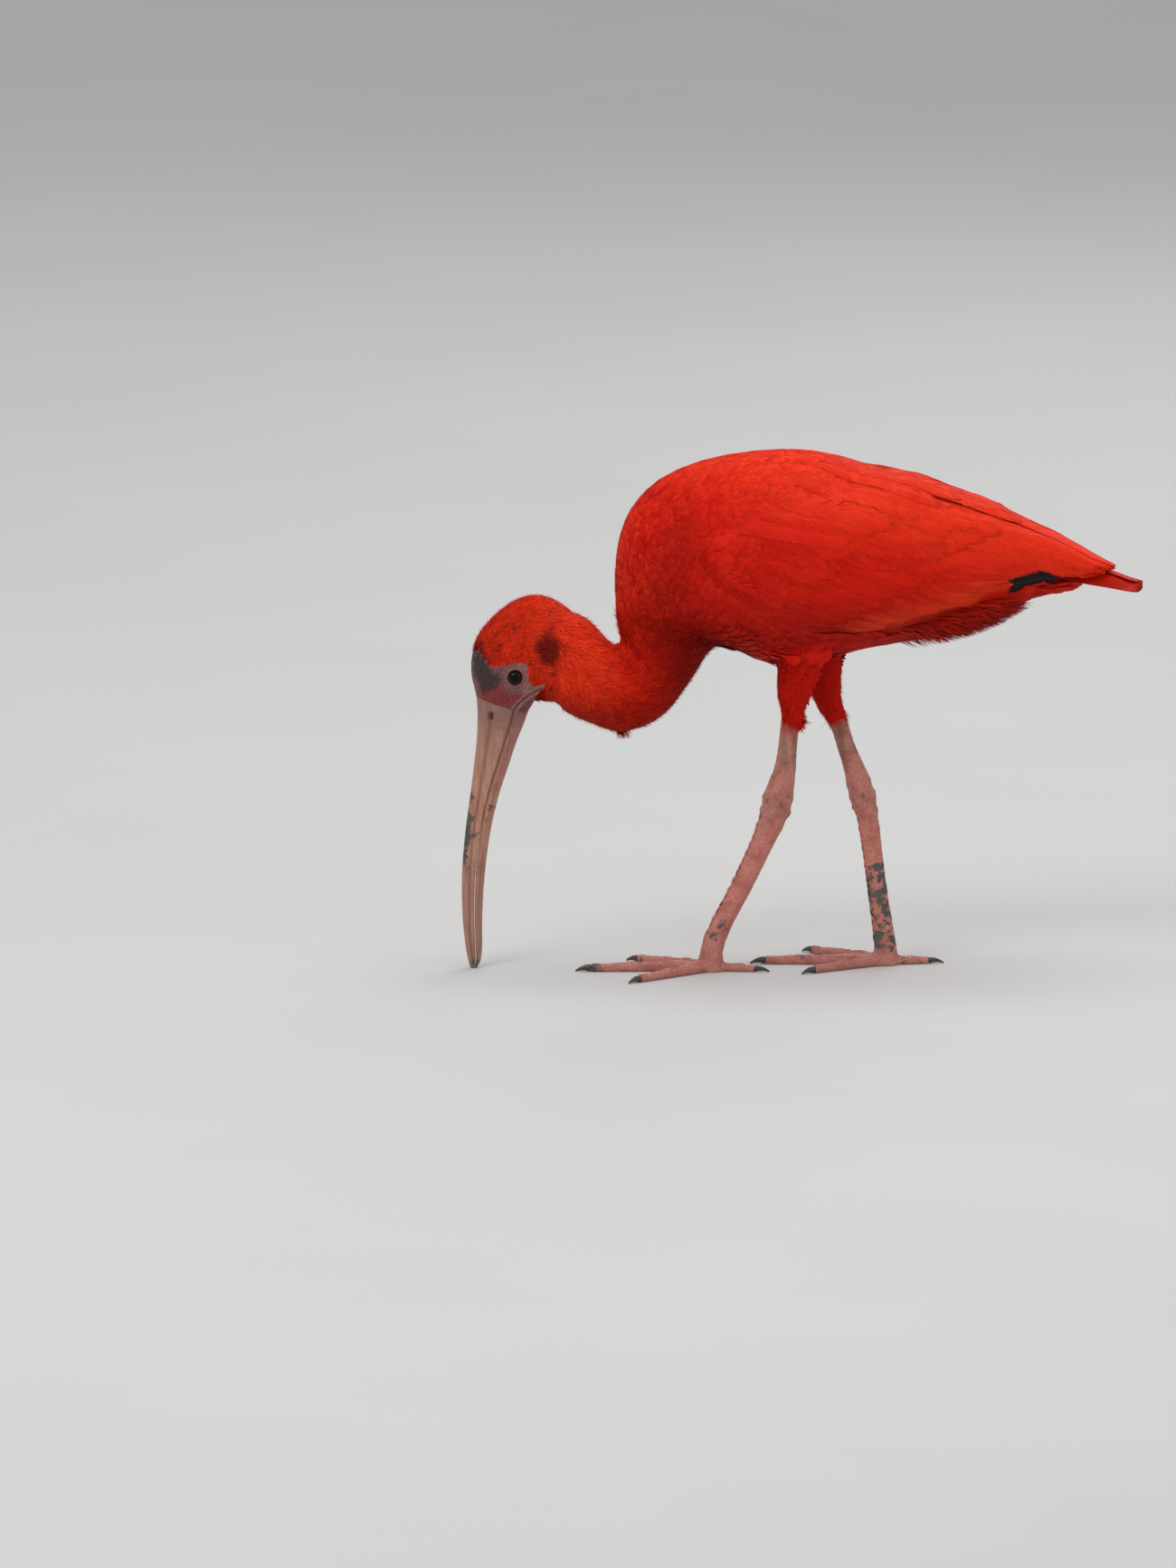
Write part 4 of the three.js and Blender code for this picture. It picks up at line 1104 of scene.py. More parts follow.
def lid_grid(side, eye_opening, rows, columns):
    """Rings of a lid from the face in to the eyeball, each wrinkled and puffed, in metres."""
    tree, sign = SHARED["head"][0], SIDE_SIGN[side]
    centre, radius = eye_place(side)
    angles, lean = circle(columns), math.radians(-14)
    rim = np.stack([eye_opening * np.cos(angles), eye_opening * 1.07 * np.sin(angles)], 1)
    rim = rim @ np.array([[math.cos(lean), math.sin(lean)], [-math.sin(lean), math.cos(lean)]])
    grid = np.empty((rows, columns, 3))
    for k in range(columns):
        near = np.linalg.norm(rim[k])
        out = rim[k] / near
        for j in range(rows):
            t = j / (rows - 1)
            far = near + 3.4 * (1 - t) ** 1.15
            x, z = centre[0] + out[0] * far * MM, centre[2] + out[1] * far * MM
            face_y = tree.ray_cast((x, sign * 0.06, z), (0, -sign, 0))[0][1]
            eye_y = centre[1] + sign * math.sqrt(max(radius**2 - (far * MM) ** 2, 0))
            wrinkle = 0.10 * math.sin(t * 34 + 2 * math.sin(k * 0.4)) * (1 - t)
            puff = 0.75 * math.exp(-((t - 0.72) / 0.22) ** 2) + wrinkle
            y = face_y + sign * (puff - 0.12 * (1 - t)) * MM
            y += (eye_y + sign * 0.12 * MM - y) * float(ease(t, 0.80, 1.0))
            grid[j, k] = (x, y, z)
    return grid


def build_lids(settings):
    """The wrinkled rim of bare skin that closes round each eye."""
    rows, columns = 26, 96
    steps = np.linspace(0, 1, rows + 1)
    dark, soft = (np.repeat(ease(steps, *ends), columns) for ends in ((0.70, 0.95), (0.30, 0.0)))
    for side in SIDES:
        sign = SIDE_SIGN[side]
        grid = lid_grid(side, settings.eye_opening, rows, columns)
        # A last ring turns in behind the rim, so the lid has a thick edge.
        back = grid[-1].copy()
        back[:, 1] -= sign * 0.8 * MM
        verts = np.concatenate([grid.reshape(-1, 3), back])
        faces = grid_faces(rows + 1, columns, closed=True, flip=sign > 0)
        marking = blend_to(SKIN_PINK * 1.1, LID_EDGE, dark * 0.8)
        marking = marking + (face_colour(verts) - marking) * soft[:, None]
        layers, maps = {"marking": marking}, {"OFBake": unwrap(verts)}
        lids = make_mesh("eyelids_" + side, verts, faces, values=layers, uvs=maps)
        finish_piece(lids, MATERIALS.bare_skin("Lid skin"))


def on_body(x, y, z):
    """Places of body and neck that no wing feather covers."""
    wing_low = wing_rows(x)[:, 2] + 4
    under_wing = (x > -34 + (z - 205) * 0.78) & (z >= wing_low) & (z > 196) & (np.abs(y) > 5)
    back = (x > 40) & (z > 240) & (np.abs(y) > 5)
    tip = (x > 118) & (z > 223)
    return (x > -118) & (z > 150) & ~under_wing & ~back & ~tip


def on_front(x, y, z):
    return on_body(x, y, z) & (x < -30)


def on_rear(x, y, z):
    return on_body(x, y, z) & (x >= -30)


def on_neck(x, y, z):
    return (x > -140) & (x < -55) & (z < 205)


def on_thigh(x, y, z):
    return (z < 182) & (x > -30) & (x < 42)


def on_vent(x, y, z):
    place = (x > 50) & (x < 117) & (z < 215) & (np.abs(y) < 24)
    return place * np.interp(x, [50, 85, 117], [0.1, 1.0, 1.0])


def on_throat(x, y, z):
    return (np.abs(x + 105.5) < 2.6) & (z < 147) & (np.abs(y) < 3)


def over(place, low):
    return lambda x, y, z: place(x, y, z) & (z > low)


# Half widths from root to tip, as shares of the widest.
VANE = (0.35, 0.8, 1.0, 0.92, 0.5)
BARB = (0.8, 1.0, 0.12)
WISP = (0.7, 1.0, 0.7, 0.1)

# Layers of the coat: where they grow, spacing, length and half width in millimetres, outline, seed,
# finish and how they lie.
COAT = {
    "body_feathers_front": (over(on_front, 180), 2.7, 12.5, 3.3, VANE, 101, "Body feathers",
                            {"columns": 3, "arch": 0.45, "lift": 1.1, "rise": 0.1}),
    "body_feathers_rear": (over(on_rear, 180), 2.9, 13.5, 3.5, VANE, 102, "Body feathers",
                           {"columns": 3, "arch": 0.45, "lift": 1.0, "rise": 0.1}),
    "body_barbs_front": (over(on_front, 176), 0.80, 7.5, 0.24, BARB, 103, "Loose barbs",
                         {"lift": 1.6, "rise": 0.15, "sink": 0.0, "swerve": 0.16}),
    "body_barbs_rear": (over(on_rear, 176), 0.84, 8.0, 0.26, BARB, 104, "Loose barbs",
                        {"lift": 1.5, "rise": 0.15, "sink": 0.0, "swerve": 0.16}),
    "neck_feathers": (on_neck, 1.6, 7.5, 1.5, VANE, 105, "Body feathers",
                      {"columns": 3, "arch": 0.3, "lift": 1.0, "rise": 0.25, "swerve": 0.22}),
    "neck_barbs": (on_neck, 0.62, 5.4, 0.22, BARB, 106, "Neck barbs",
                   {"lift": 1.5, "rise": 0.5, "sink": 0.0, "swerve": 0.3}),
    "neck_wisps": (on_neck, 1.9, 6.0, 0.34, BARB, 109, "Neck barbs",
                   {"lift": 1.4, "rise": 1.9, "sink": 0.0, "swerve": 0.5}),
    "neck_tuft": (on_throat, 0.5, 4.5, 0.3, BARB, 110, "Neck barbs",
                  {"lift": 1.6, "rise": 4.6, "sink": 0.0, "swerve": 0.5}),
    "thigh_feathers": (on_thigh, 1.15, 6.0, 0.95, VANE, 107, "Body feathers",
                       {"columns": 3, "arch": 0.2, "lift": 0.6, "rise": 0.1, "swerve": 0.16,
                        "follow": False}),
    "thigh_barbs": (on_thigh, 0.56, 6.0, 0.2, BARB, 108, "Neck barbs",
                    {"lift": 1.1, "rise": 0.2, "sink": 0.0, "swerve": 0.26, "follow": False}),
    "thigh_fringe": (lambda x, y, z: on_thigh(x, y, z) & (z < 155), 0.42, 8.5, 0.24, BARB, 112, "Neck barbs",
                     {"lift": 1.3, "rise": 0.7, "sink": -0.3, "swerve": 0.2, "follow": False}),
    "undertail_wisps": (on_vent, 1.25, 13.0, 0.55, WISP, 111, "Neck barbs",
                        {"lift": 2.0, "rise": 4.4, "sink": 0.2, "swerve": 0.3}),
}


def build_body_coat(settings):
    """Small feathers of neck, breast, back, belly, thighs and undertail."""
    sparser = 1.0 * settings.coat_spacing
    surface = SHARED["skin"]
    for name, (place, spacing, length, half, outline, seed, finish, lie) in COAT.items():
        rng = np.random.default_rng(seed)
        points, _ = scatter(surface, spacing * MM * sparser, lambda middle: place(*middle.T / MM), rng)
        normals = smooth_normals(surface, points, SHARED["skin_normals"])
        flow, _ = LIE.at(points)
        lengths = length * MM * (1 + 0.16 * rng.normal(size=len(points))) * settings.feather_length
        halves = half * MM * (1 + 0.1 * rng.normal(size=len(points)))
        tufts(name, surface, points, normals, flow, lengths, halves, outline, rng,
              MATERIALS.plumage(finish), **lie)


# Layers of the head's coat: spacing, length and half width, seed, lift and rise over the skin.
HEAD_COAT = {
    "head_underlayer": (0.62, 3.0, 0.42, 202, 0.35, 0.2),
    "head_barbs": (0.46, 3.4, 0.18, 203, 0.8, 0.4),
    "head_wisps": (1.5, 4.2, 0.22, 204, 0.9, 1.5),
}


def build_head_coat():
    """Short silky feathers of the head, up to the edge of the bare face."""
    sparser = 1.0
    surface = SHARED["head"]
    eye_spot = eye_place("left")[0][[0, 2]] / MM

    def feathered(points):
        off_eye = np.linalg.norm(points[:, [0, 2]] / MM - eye_spot, axis=1) > 8.0
        return (1 - bare_share(points)) * off_eye * (points[:, 0] < -118 * MM)

    for name, (spacing, length, half, seed, lift, rise) in HEAD_COAT.items():
        rng = np.random.default_rng(seed)
        points, normal = scatter(surface, spacing * MM * sparser, feathered, rng)
        middle_x = np.interp(points[:, 2], [0.15, 0.2], [-0.165, -0.160])
        middle = np.stack([middle_x, 0 * middle_x, np.full(len(points), 0.182)], 1)
        inward = ((points - middle) * normal).sum(1) < 0
        normal[inward] *= -1
        flow, _ = LIE.at(points)
        short = 0.55 + 0.45 * ease(-inside_by(points[:, [0, 2]] / MM, BARE_EDGE), 0.5, 6)
        lengths = length * MM * short * (1 + 0.2 * rng.normal(size=len(points)))
        halves = np.full(len(points), half * MM)
        tufts(name, surface, points, normal, flow, lengths, halves, (0.8, 1.0, 0.15), rng,
              MATERIALS.plumage("Head barbs"), lift=lift, rise=rise, sink=0.0, swerve=0.3)


def laid_on_skin(points, up, height):
    """Places at a height over the skin; past the skin's end they keep to the wing's own outline."""
    tree, _, tris = SHARED["skin"]
    smooth = SHARED["skin_normals"]
    place, normal = points + up * (height - 2.0 * MM)[:, None], up.copy()
    for i, point in enumerate(points):
        near, _, index, gap = tree.find_nearest(point)
        share = min(max((6.5 * MM - gap) / (2.5 * MM), 0.0), 1.0)
        out = smooth[tris[index]].mean(0)
        place[i] += (np.array(near) + out * height[i] - place[i]) * share
        normal[i] += (out - up[i]) * share
    return place, unit(normal)


class WingFeather:
    """A feather on the folded wing: t runs from root to tip, s from its upper to its lower edge."""

    def __init__(self, root, tip, half, lift, bow, sign):
        self.root, self.tip, self.half, self.lift, self.sign, self.bow = root, tip, half, lift, sign, bow
        self.first, self.last = wing_angle(*root), wing_angle(*tip)

    def at(self, t, s, higher=0.0):
        """Places on the feather and their ups."""
        x = self.root[0] + (self.tip[0] - self.root[0]) * t
        row = wing_rows(x)
        girth = (row[:, 1] - row[:, 2] + 2 * row[:, 3]) / 4
        angle = self.first + (self.last - self.first) * t - self.bow * 0.06 * np.sin(math.pi * t)
        width = self.half * feather_width(np.clip(t, 0, 1))
        # The root sinks under the tier above, and the feather is arched across.
        rise = self.lift + higher - 1.6 * ease(t, 0.14, 0.0) - 0.22 * s + 0.25 * (1 - s * s)
        turned = np.maximum(angle - s * width / girth, 0.02)
        base = on_wing(x, turned, 0, self.sign)
        up = unit(on_wing(x, turned, 1, self.sign) - base)
        return laid_on_skin(base, up, rise * MM)

    def grid(self, rows, columns):
        t, s = np.meshgrid(np.linspace(0, 1, rows), np.linspace(-1, 1, columns), indexing="ij")
        place, up = self.at(t.ravel(), s.ravel())
        return place.reshape(rows, columns, 3), up.reshape(rows, columns, 3)

    def barbs(self, count, rng, thick=0.34, reach=6.5):
        """Strips that slant out from the shaft and fray the edge: places of three rows of two."""
        length = np.linalg.norm(np.subtract(self.tip, self.root))
        t0 = rng.uniform(0.06, 0.97, count) ** 0.85
        side = rng.choice((-1.0, 1.0), count)
        s0 = rng.uniform(0.0, 0.72, count)
        s1 = np.minimum(s0 + rng.uniform(0.25, 0.55, count), 1.02 + 0.10 * rng.random(count))
        run = reach * rng.uniform(0.7, 1.2, count) / length
        t0, run, first, slant = (each[:, None, None] for each in (t0, run, side * s0, side * (s1 - s0)))
        share = np.array((0.0, 0.5, 1.0))[None, :, None]
        across = np.array((-1.0, 1.0))[None, None, :]
        width = np.array((0.8, 1.0, 0.15))[None, :, None] * thick / length
        t = t0 + run * share + across * width * 0.5
        s = first + slant * share - across * 0.5 * thick / self.half
        t, s = np.broadcast_arrays(np.clip(t, 0, 1.0), s)
        higher = np.broadcast_to(0.05 + 0.16 * share, t.shape)
        return self.at(t.ravel(), s.ravel(), higher.ravel())[0].reshape(count, 3, 2, 3)


def wing_feathers(sign, rng):
    """The feathers of one wing from the table of tiers, as flight feathers and coverts."""
    groups = {"flight": [], "coverts": []}
    for tier, (count, root_a, root_b, tip_a, tip_b, half, lift, bow) in WING_TIERS.items():
        roots, tips = (np.linspace(*ends, count) for ends in ((root_a, root_b), (tip_a, tip_b)))
        for i, (root, tip) in enumerate(zip(roots, tips)):
            root, tip = root + rng.normal(0, 0.6, 2), tip + rng.normal(0, 1.0, 2)
            wide, flatter = half * rng.uniform(0.95, 1.08), 1 - 0.8 * i / (count - 1)
            feather = WingFeather(root, tip, wide, lift + 0.05 * (i % 3), bow * flatter, sign)
            groups["flight" if tier in FLIGHT_TIERS else "coverts"].append((tier, feather))
    return groups


def wing_colour(tier, points, t):
    """The colour of places on a wing feather, t of the way to its tip."""
    colour = plumage_colour(points)
    if tier in FLIGHT_TIERS:
        colour = blend_to(colour, WING_BLACK, ease(inside_by(points[:, [0, 2]] / MM, BLACK_TIP), -0.4, 0.1))
    if tier == "secondaries":
        colour = blend_to(colour, BAND_ORANGE, 0.6 * ease(t, 0.3, 0.8) * (colour[:, 0] > 0.1))
    if tier == "primaries":
        colour = blend_to(colour, WING_BLACK, ease(points[:, 0] / MM, 116.5, 119))
    return colour


def build_wings():
    fewer = 1
    for side in SIDES:
        rng = np.random.default_rng(301)
        for kind, feathers in wing_feathers(SIDE_SIGN[side], rng).items():
            # Flight feathers have a finer grid for the black tip's clean edge.
            (rows, columns), count = ((50, 13), 260) if kind == "flight" else ((15, 7), 420)
            t = np.repeat(np.linspace(0, 1, rows), columns)
            vanes, strips, colours = [], [], []
            for tier, feather in feathers:
                grid, ups = feather.grid(rows, columns)
                vanes.append((grid, ups, wing_colour(tier, grid.reshape(-1, 3), t), rng.uniform(0.35, 0.65)))
                barbs = feather.barbs(count // fewer, rng)
                barbs = barbs[inside_by(barbs[:, 1].mean(1)[:, [0, 2]] / MM, BLACK_TIP) < -3.5]
                low, high = barbs[..., 0].min(), barbs[..., 0].max()
                middle = barbs[:, 1].mean(1)
                strips.append(barbs)
                colours.append(wing_colour(tier, middle, (middle[:, 0] - low) / (high - low)))
            closed_vanes(f"{kind}_feathers_{side}", vanes, 0.22 * MM, MATERIALS.plumage("Wing feathers"))
            strips = np.concatenate(strips)
            strip_mesh(f"{kind}_barbs_{side}", strips, strips[:, 0].mean(1), np.concatenate(colours), rng,
                       MATERIALS.plumage("Loose barbs"))


def build_tail():
    """A fan of vanes, each rank a little lower and nearer the middle than the next."""
    rng = np.random.default_rng(401)
    rows, columns, ranks = 16, 7, 6
    t = np.linspace(0, 1, rows)
    vanes = []
    for rank in range(ranks):
        for sign in (-1, 1):
            spread = (rank + 0.5) / ranks
            level = 1.4 * (rank + (0.5 if sign > 0 else 0))
            x = TAIL_ROOT + (TAIL_TIP - 3 * spread**2 - TAIL_ROOT) * t
            along = (x - TAIL_ROOT) / (TAIL_TIP - TAIL_ROOT)
            pinch = 6.2 * (1 - spread) * ease(t, 0.60, 1.0)
            z = 231.6 - 2.0 * along - level * along**0.6 - pinch + rng.normal(0, 0.1)
            y = sign * (3 + 8 * t) * spread
            half = 6.2 * feather_width(t, point=0.84, root=0.5)
            grid, ups = np.empty((rows, columns, 3)), np.zeros((rows, columns, 3))
            for column, s in enumerate(np.linspace(-1, 1, columns)):
                slope = -(0.8 + 1.0 * along) * s * sign
                grid[:, column] = np.stack([x, y + s * half, z - 0.5 * s * s + slope], 1) * MM
            ups[..., 2] = 1
            vanes.append((grid, ups, plumage_colour(grid.reshape(-1, 3)), rng.uniform(0.3, 0.7)))
    finish = MATERIALS.plumage("Wing feathers")
    obj = closed_vanes("tail_feathers", vanes, 0.4 * MM, finish)
    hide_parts("tail")


def bill_ring(upper, station, back, chin, half, meet):
    """One ring of half a bill in millimetres, and the painted shade of its groove, nostril and mouth edge."""
    arc = int(BILL_SIDES * 0.76)
    flat = BILL_SIDES - arc
    centre, reach = (back + chin) / 2, (back - chin) / 2
    angles = np.linspace(-meet, meet, arc) if upper else np.linspace(meet, 2 * math.pi - meet, arc)
    along = centre + reach * np.cos(angles)[:, None]
    outer = np.stack([along[:, 0], half * np.sin(angles), along[:, 1]], 1)
    share = (np.arange(1, flat + 1) / (flat + 1))[:, None]
    inner = outer[-1] * (1 - share) + outer[0] * share
    out = unit(outer - (centre[0], 0, centre[1]))
    level = np.abs(np.degrees(angles if upper else angles - math.pi))
    edge = math.degrees(meet) if upper else 180 - math.degrees(meet)
    mark = np.zeros(BILL_SIDES)
    if upper:
        line = 62 + 10 * ease(station, 2, 8)
        groove = np.exp(-((level - line) / 6.5) ** 2) * ease(station, 1.2, 2.2) * ease(station, 11.2, 9.5)
        nostril = np.exp(-((level - 64) / 6.0) ** 2) * np.exp(-((outer[:, 2] - 147.6) / 2.4) ** 4)
        lip = np.exp(-((level - edge) / 5.0) ** 2)
        outer = outer + out * (0.18 * lip - 0.42 * groove - 1.1 * nostril)[:, None]
        mark[:arc] = np.max([groove * 0.7, nostril * 3.0, lip * 0.55], axis=0)
    else:
        groove = np.exp(-((level - 48) / 7.0) ** 2) * ease(station, 1.5, 3) * ease(station, 10, 7)
        lip = np.exp(-((level - edge) / 6.0) ** 2)
        outer = outer - out * (0.25 * groove)[:, None]
        mark[:arc] = np.maximum(groove * 0.3, lip * 0.5)
    ring = np.concatenate([outer, inner])
    ring[:, [0, 2]] += unit(reach) * (BILL_GAP if upper else -BILL_GAP)
    return ring, mark


def bill_colours(verts, mark, upper):
    """The colour of places on the bill and how much mud is on them."""
    x, _, z = verts.T / MM
    layers = [
        (np.array((0.56, 0.27, 0.18)), 0.8 * np.exp(-((z - 100) / 34) ** 2)),
        (np.array((0.27, 0.155, 0.13)), 0.75 * ease(z, 122, 156)),
        (np.array((0.36, 0.20, 0.155)), 0.7 * ease(z, 45, 5)),
    ]
    if not upper:
        layers += [(np.array((0.45, 0.17, 0.14)), 0.6 * ease(z, 80, 125)),
                   (np.array((0.24, 0.11, 0.11)), 0.7 * ease(z, 135, 150))]
    # Painted shade in the groove, the nostril and along the mouth edge, darkest in the nostril.
    layers += [(np.array((0.12, 0.045, 0.03)), 0.8 * np.clip(mark, 0, 1)),
               (np.array((0.035, 0.012, 0.010)), 0.95 * np.clip(1.6 * (mark - 0.9), 0, 1))]
    front = ease(x + (z - 80) * -0.09 * (z > 60), -189, -193)
    mud = (0.38 + 0.42 * front) * np.exp(-((z - 80) / 34) ** 2) + 0.6 * ease(z, 14, 2) + 0.12
    return painted(BILL_TAN, layers), mud


def bill_half(name, upper):
    """The upper or lower bill as one closed loft with its groove, nostril and mouth edge."""
    count = 260
    stations = np.linspace(0, len(BILL) - 1.0001, count)
    row = rows_at(BILL, stations)
    meet = np.arccos(np.clip(1 - 2 * row[:, 5], -1, 1))
    rings = [bill_ring(upper, stations[i], row[i, :2], row[i, 2:4], row[i, 4], meet[i]) for i in range(count)]
    verts, mark = (np.concatenate(part) for part in zip(*rings))
    verts = verts * MM
    verts = np.concatenate([verts, [verts[:BILL_SIDES].mean(0), verts[-BILL_SIDES:].mean(0)]])
    fine = lattice_noise(verts * np.array((1, 1, 3.0)), 0.004, 82) * 0.09
    rough = lattice_noise(verts, 0.006, 81) * 0.10 + fine
    rough *= ease(verts[:, 2] / MM, 90, 150) * (np.abs(verts[:, 1]) > 2 * MM)
    verts[:, 1] += np.sign(verts[:, 1]) * rough * MM
    colour, mud = bill_colours(verts, np.concatenate([mark, [0, 0]]), upper)
    obj = make_mesh(name, verts, capped_faces(count, BILL_SIDES), values={"marking": colour, "mud": mud})
    return make_outward(obj)


def build_bill():
    for name, upper in (("bill_upper", True), ("bill_lower", False)):
        finish_piece(bill_half("horn_" + name, upper), MATERIALS.bill(), [name])


def slice_middle(node, level):
    """The middle of a node's slice in millimetres, level over its bottom, or under its top where below 0."""
    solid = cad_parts[node]
    co = points_of(solid) / MM
    level = level + (co[:, 2].min() if level > 0 else co[:, 2].max())
    pairs = np.array([edge.vertices[:] for edge in solid.data.edges])
    a, b = co[pairs[:, 0]], co[pairs[:, 1]]
    across = (a[:, 2] - level) * (b[:, 2] - level) < 0
    a, b = a[across], b[across]
    cut = a + (b - a) * ((level - a[:, 2]) / (b[:, 2] - a[:, 2]))[:, None]
    return (cut.min(0) + cut.max(0)) / 2


def leg_stub(side):
    """An upright tube that carries the bare leg on into the feathered thigh."""
    middles = [slice_middle(f"{node}_{side}", level) for node, level, _ in LEG_STUB]
    angles = circle(TUBE_SIDES)
    rings = [np.stack([x + r * np.cos(angles), y + r * np.sin(angles), np.full(TUBE_SIDES, z)], 1)
             for (x, y, z), (_, _, r) in zip(middles, LEG_STUB)]
    return closed_tube("stub", rings, [middles[0], middles[-1]])


def leg_colours(points, side):
    """The colour of places on a leg and how much mud is on them."""
    x, _, z = points.T / MM
    streaks = ease(lattice_noise(points * np.array((1, 1, 0.25)), 0.006, 92), -0.3, 0.5)
    knob = np.exp(-((z - 97) / 10) ** 2)
    colour = painted(LEG_SALMON, (
        (LEG_OLIVE, (0.35 + 0.5 * streaks) * ease(z, 104, 128)),
        (LEG_RED, 0.55 * ease(z, 133, 147)),
        (LEG_PINK, 0.7 * knob),
        (LEG_OLIVE * 0.6, 0.7 * knob * ease(lattice_noise(points, 0.0042, 94), 0.4, 0.75)),
        (LEG_PINK, 0.5 * ease(z, 24, 6)),
    ))
    if side == "right":
        mud = 0.60 * ease(z, 66, 56) * ease(z, 4, 12) + 0.12
    else:
        mud = 0.16 + 0.75 * spot(x, z, (-47, 24), (7, 8)) + 0.6 * ease(x, -112, -121) * ease(z, 12, 8)
    mud = mud + 0.15 * lattice_noise(points, 0.016, 91) + 0.22 * ease(z, 12, 4)
    return colour, np.clip(mud, 0, 1)


def scute_tree():
    """Geometry nodes that set one shallow plate on each given place, turned along the leg."""
    tree = bpy.data.node_groups.new("Leg scutes", "GeometryNodeTree")
    n = Nodes(tree)
    sockets = {}
    for label, kind in (("Geometry", "Geometry"), ("Plate width", "Float"), ("Plate height", "Float"),
                        ("Plate rise", "Float"), ("Material", "Material")):
        socket = tree.interface.new_socket(label, in_out="INPUT", socket_type="NodeSocket" + kind)
        sockets[label] = socket.identifier
    tree.interface.new_socket("Geometry", in_out="OUTPUT", socket_type="NodeSocketGeometry")
    given = n.add("NodeGroupInput").outputs
    out, along, size = (
        n.add("GeometryNodeInputNamedAttribute", {"Name": name}, data_type=kind).outputs["Attribute"]
        for name, kind in SCUTE_FIELDS.items())
    ball = n.add("GeometryNodeMeshUVSphere", {"Segments": 10, "Rings": 5, "Radius": 1.0}).outputs["Mesh"]
    scale = n.add("ShaderNodeCombineXYZ", {
        "X": given["Plate width"], "Y": given["Plate height"], "Z": given["Plate rise"]}).outputs[0]
    plate = n.add("GeometryNodeTransform", {"Geometry": ball, "Scale": scale}).outputs["Geometry"]
    upright = n.add("FunctionNodeAlignRotationToVector", {"Vector": out}, axis="Z").outputs["Rotation"]
    turned = n.add("FunctionNodeAlignRotationToVector", {"Rotation": upright, "Vector": along},
                   axis="Y", pivot_axis="Z").outputs["Rotation"]
    plates = n.add("GeometryNodeInstanceOnPoints", {
        "Points": given["Geometry"], "Instance": plate, "Rotation": turned, "Scale": size})
    real = n.add("GeometryNodeRealizeInstances", {"Geometry": plates.outputs["Instances"]})
    skinned = n.add("GeometryNodeSetMaterial", {
        "Geometry": real.outputs["Geometry"], "Material": given["Material"]})
    n.add("NodeGroupOutput", {"Geometry": skinned.outputs["Geometry"]})
    return tree, sockets


def scutes(name, tree, sockets, places, plate, side):
    """A run of scutes on one leg, as a plain mesh. Each place is a point, its out, along and size."""
    points, *fields = (np.array(column, np.float32) for column in zip(*places))
    mesh = bpy.data.meshes.new(name)
    mesh.from_pydata(points.tolist(), [], [])
    for (key, kind), field in zip(SCUTE_FIELDS.items(), fields):
        target = "vector" if kind == "FLOAT_VECTOR" else "value"
        mesh.attributes.new(key, kind, "POINT").data.foreach_set(target, field.ravel())
    obj = placed(name, mesh)
    modifier = obj.modifiers.new("Scutes", "NODES")
    for label, size in zip(("Plate width", "Plate height", "Plate rise"), plate):
        modifier[sockets[label]] = size * MM
    modifier[sockets["Material"]] = MATERIALS.leg()
    modifier.node_group = tree
    made = settled(obj, name)
    for key in SCUTE_FIELDS:
        if key in made.data.attributes:
            made.data.attributes.remove(made.data.attributes[key])
    colour, mud = leg_colours(points_of(made), side)
    add_values(made.data, marking=colour * 1.06, mud=mud)
    finish_piece(made, MATERIALS.leg())


def front_places(side, tree, co):
    """Places of the broad scutes down the front of the tarsus."""
    low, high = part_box("tarsus_" + side)
    places = []
    height = low.z + 2 * MM
    while height < high.z + 8 * MM:
        middle = co[np.abs(co[:, 2] - height) < 1.2 * MM].mean(0)
        hit, normal, _, _ = tree.ray_cast((middle[0] - 0.05, middle[1], height), (1, 0, 0))
        if hit:
            places.append((hit - normal * 0.2 * MM, normal, (0.25, 0, -1), 1.0))
        height += 4.2 * MM
    return places


def toe_places(side, tree):
    """Places of the small cross scutes on the top of each toe."""
    foot_low, foot_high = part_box("foot_" + side)
    hub = (foot_low + foot_high) / 2
    hub.z = 0
    places = []
    for toe in TOE_NAMES:
        low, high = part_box(f"toe_{toe}_{side}")
        corners = [Vector((x, y, 0)) for x in (low.x, high.x) for y in (low.y, high.y)]
        near, *_, far = sorted(corners, key=lambda corner: (corner - hub).length)
        steps = int((far - near).length / (2.2 * MM))
        for k in range(steps):
            spot_on = near + (far - near) * ((k + 0.5) / steps)
            hit, normal, _, _ = tree.ray_cast((spot_on.x, spot_on.y, 0.03), (0, 0, -1))
            if hit and hit.z < 12 * MM:
                along, size = (far - near).normalized(), 1 - 0.35 * k / steps
                places.append((hit - normal * 0.1 * MM, normal, along, size))
    return places


def roughen_leg(leg):
    """Wrinkles along the leg and the knobby hock, with the sole kept on the floor."""
    co = points_of(leg)
    fine = lattice_noise(co * np.array((1, 1, 2.4)), 0.0032, 96) * 0.08
    wrinkle = lattice_noise(co, 0.005, 95) * 0.12 + fine
    lumps = 0.9 * lattice_noise(co, 0.008, 97) + 0.3 * lattice_noise(co, 0.0035, 98)
    knob = np.exp(-((co[:, 2] / MM - 96) / 12) ** 2) * lumps
    co = co + normals_of(leg) * ((wrinkle + knob) * MM)[:, None]
    co[:, 2] = np.maximum(co[:, 2], 0.0)
    set_points(leg, co)
    return co


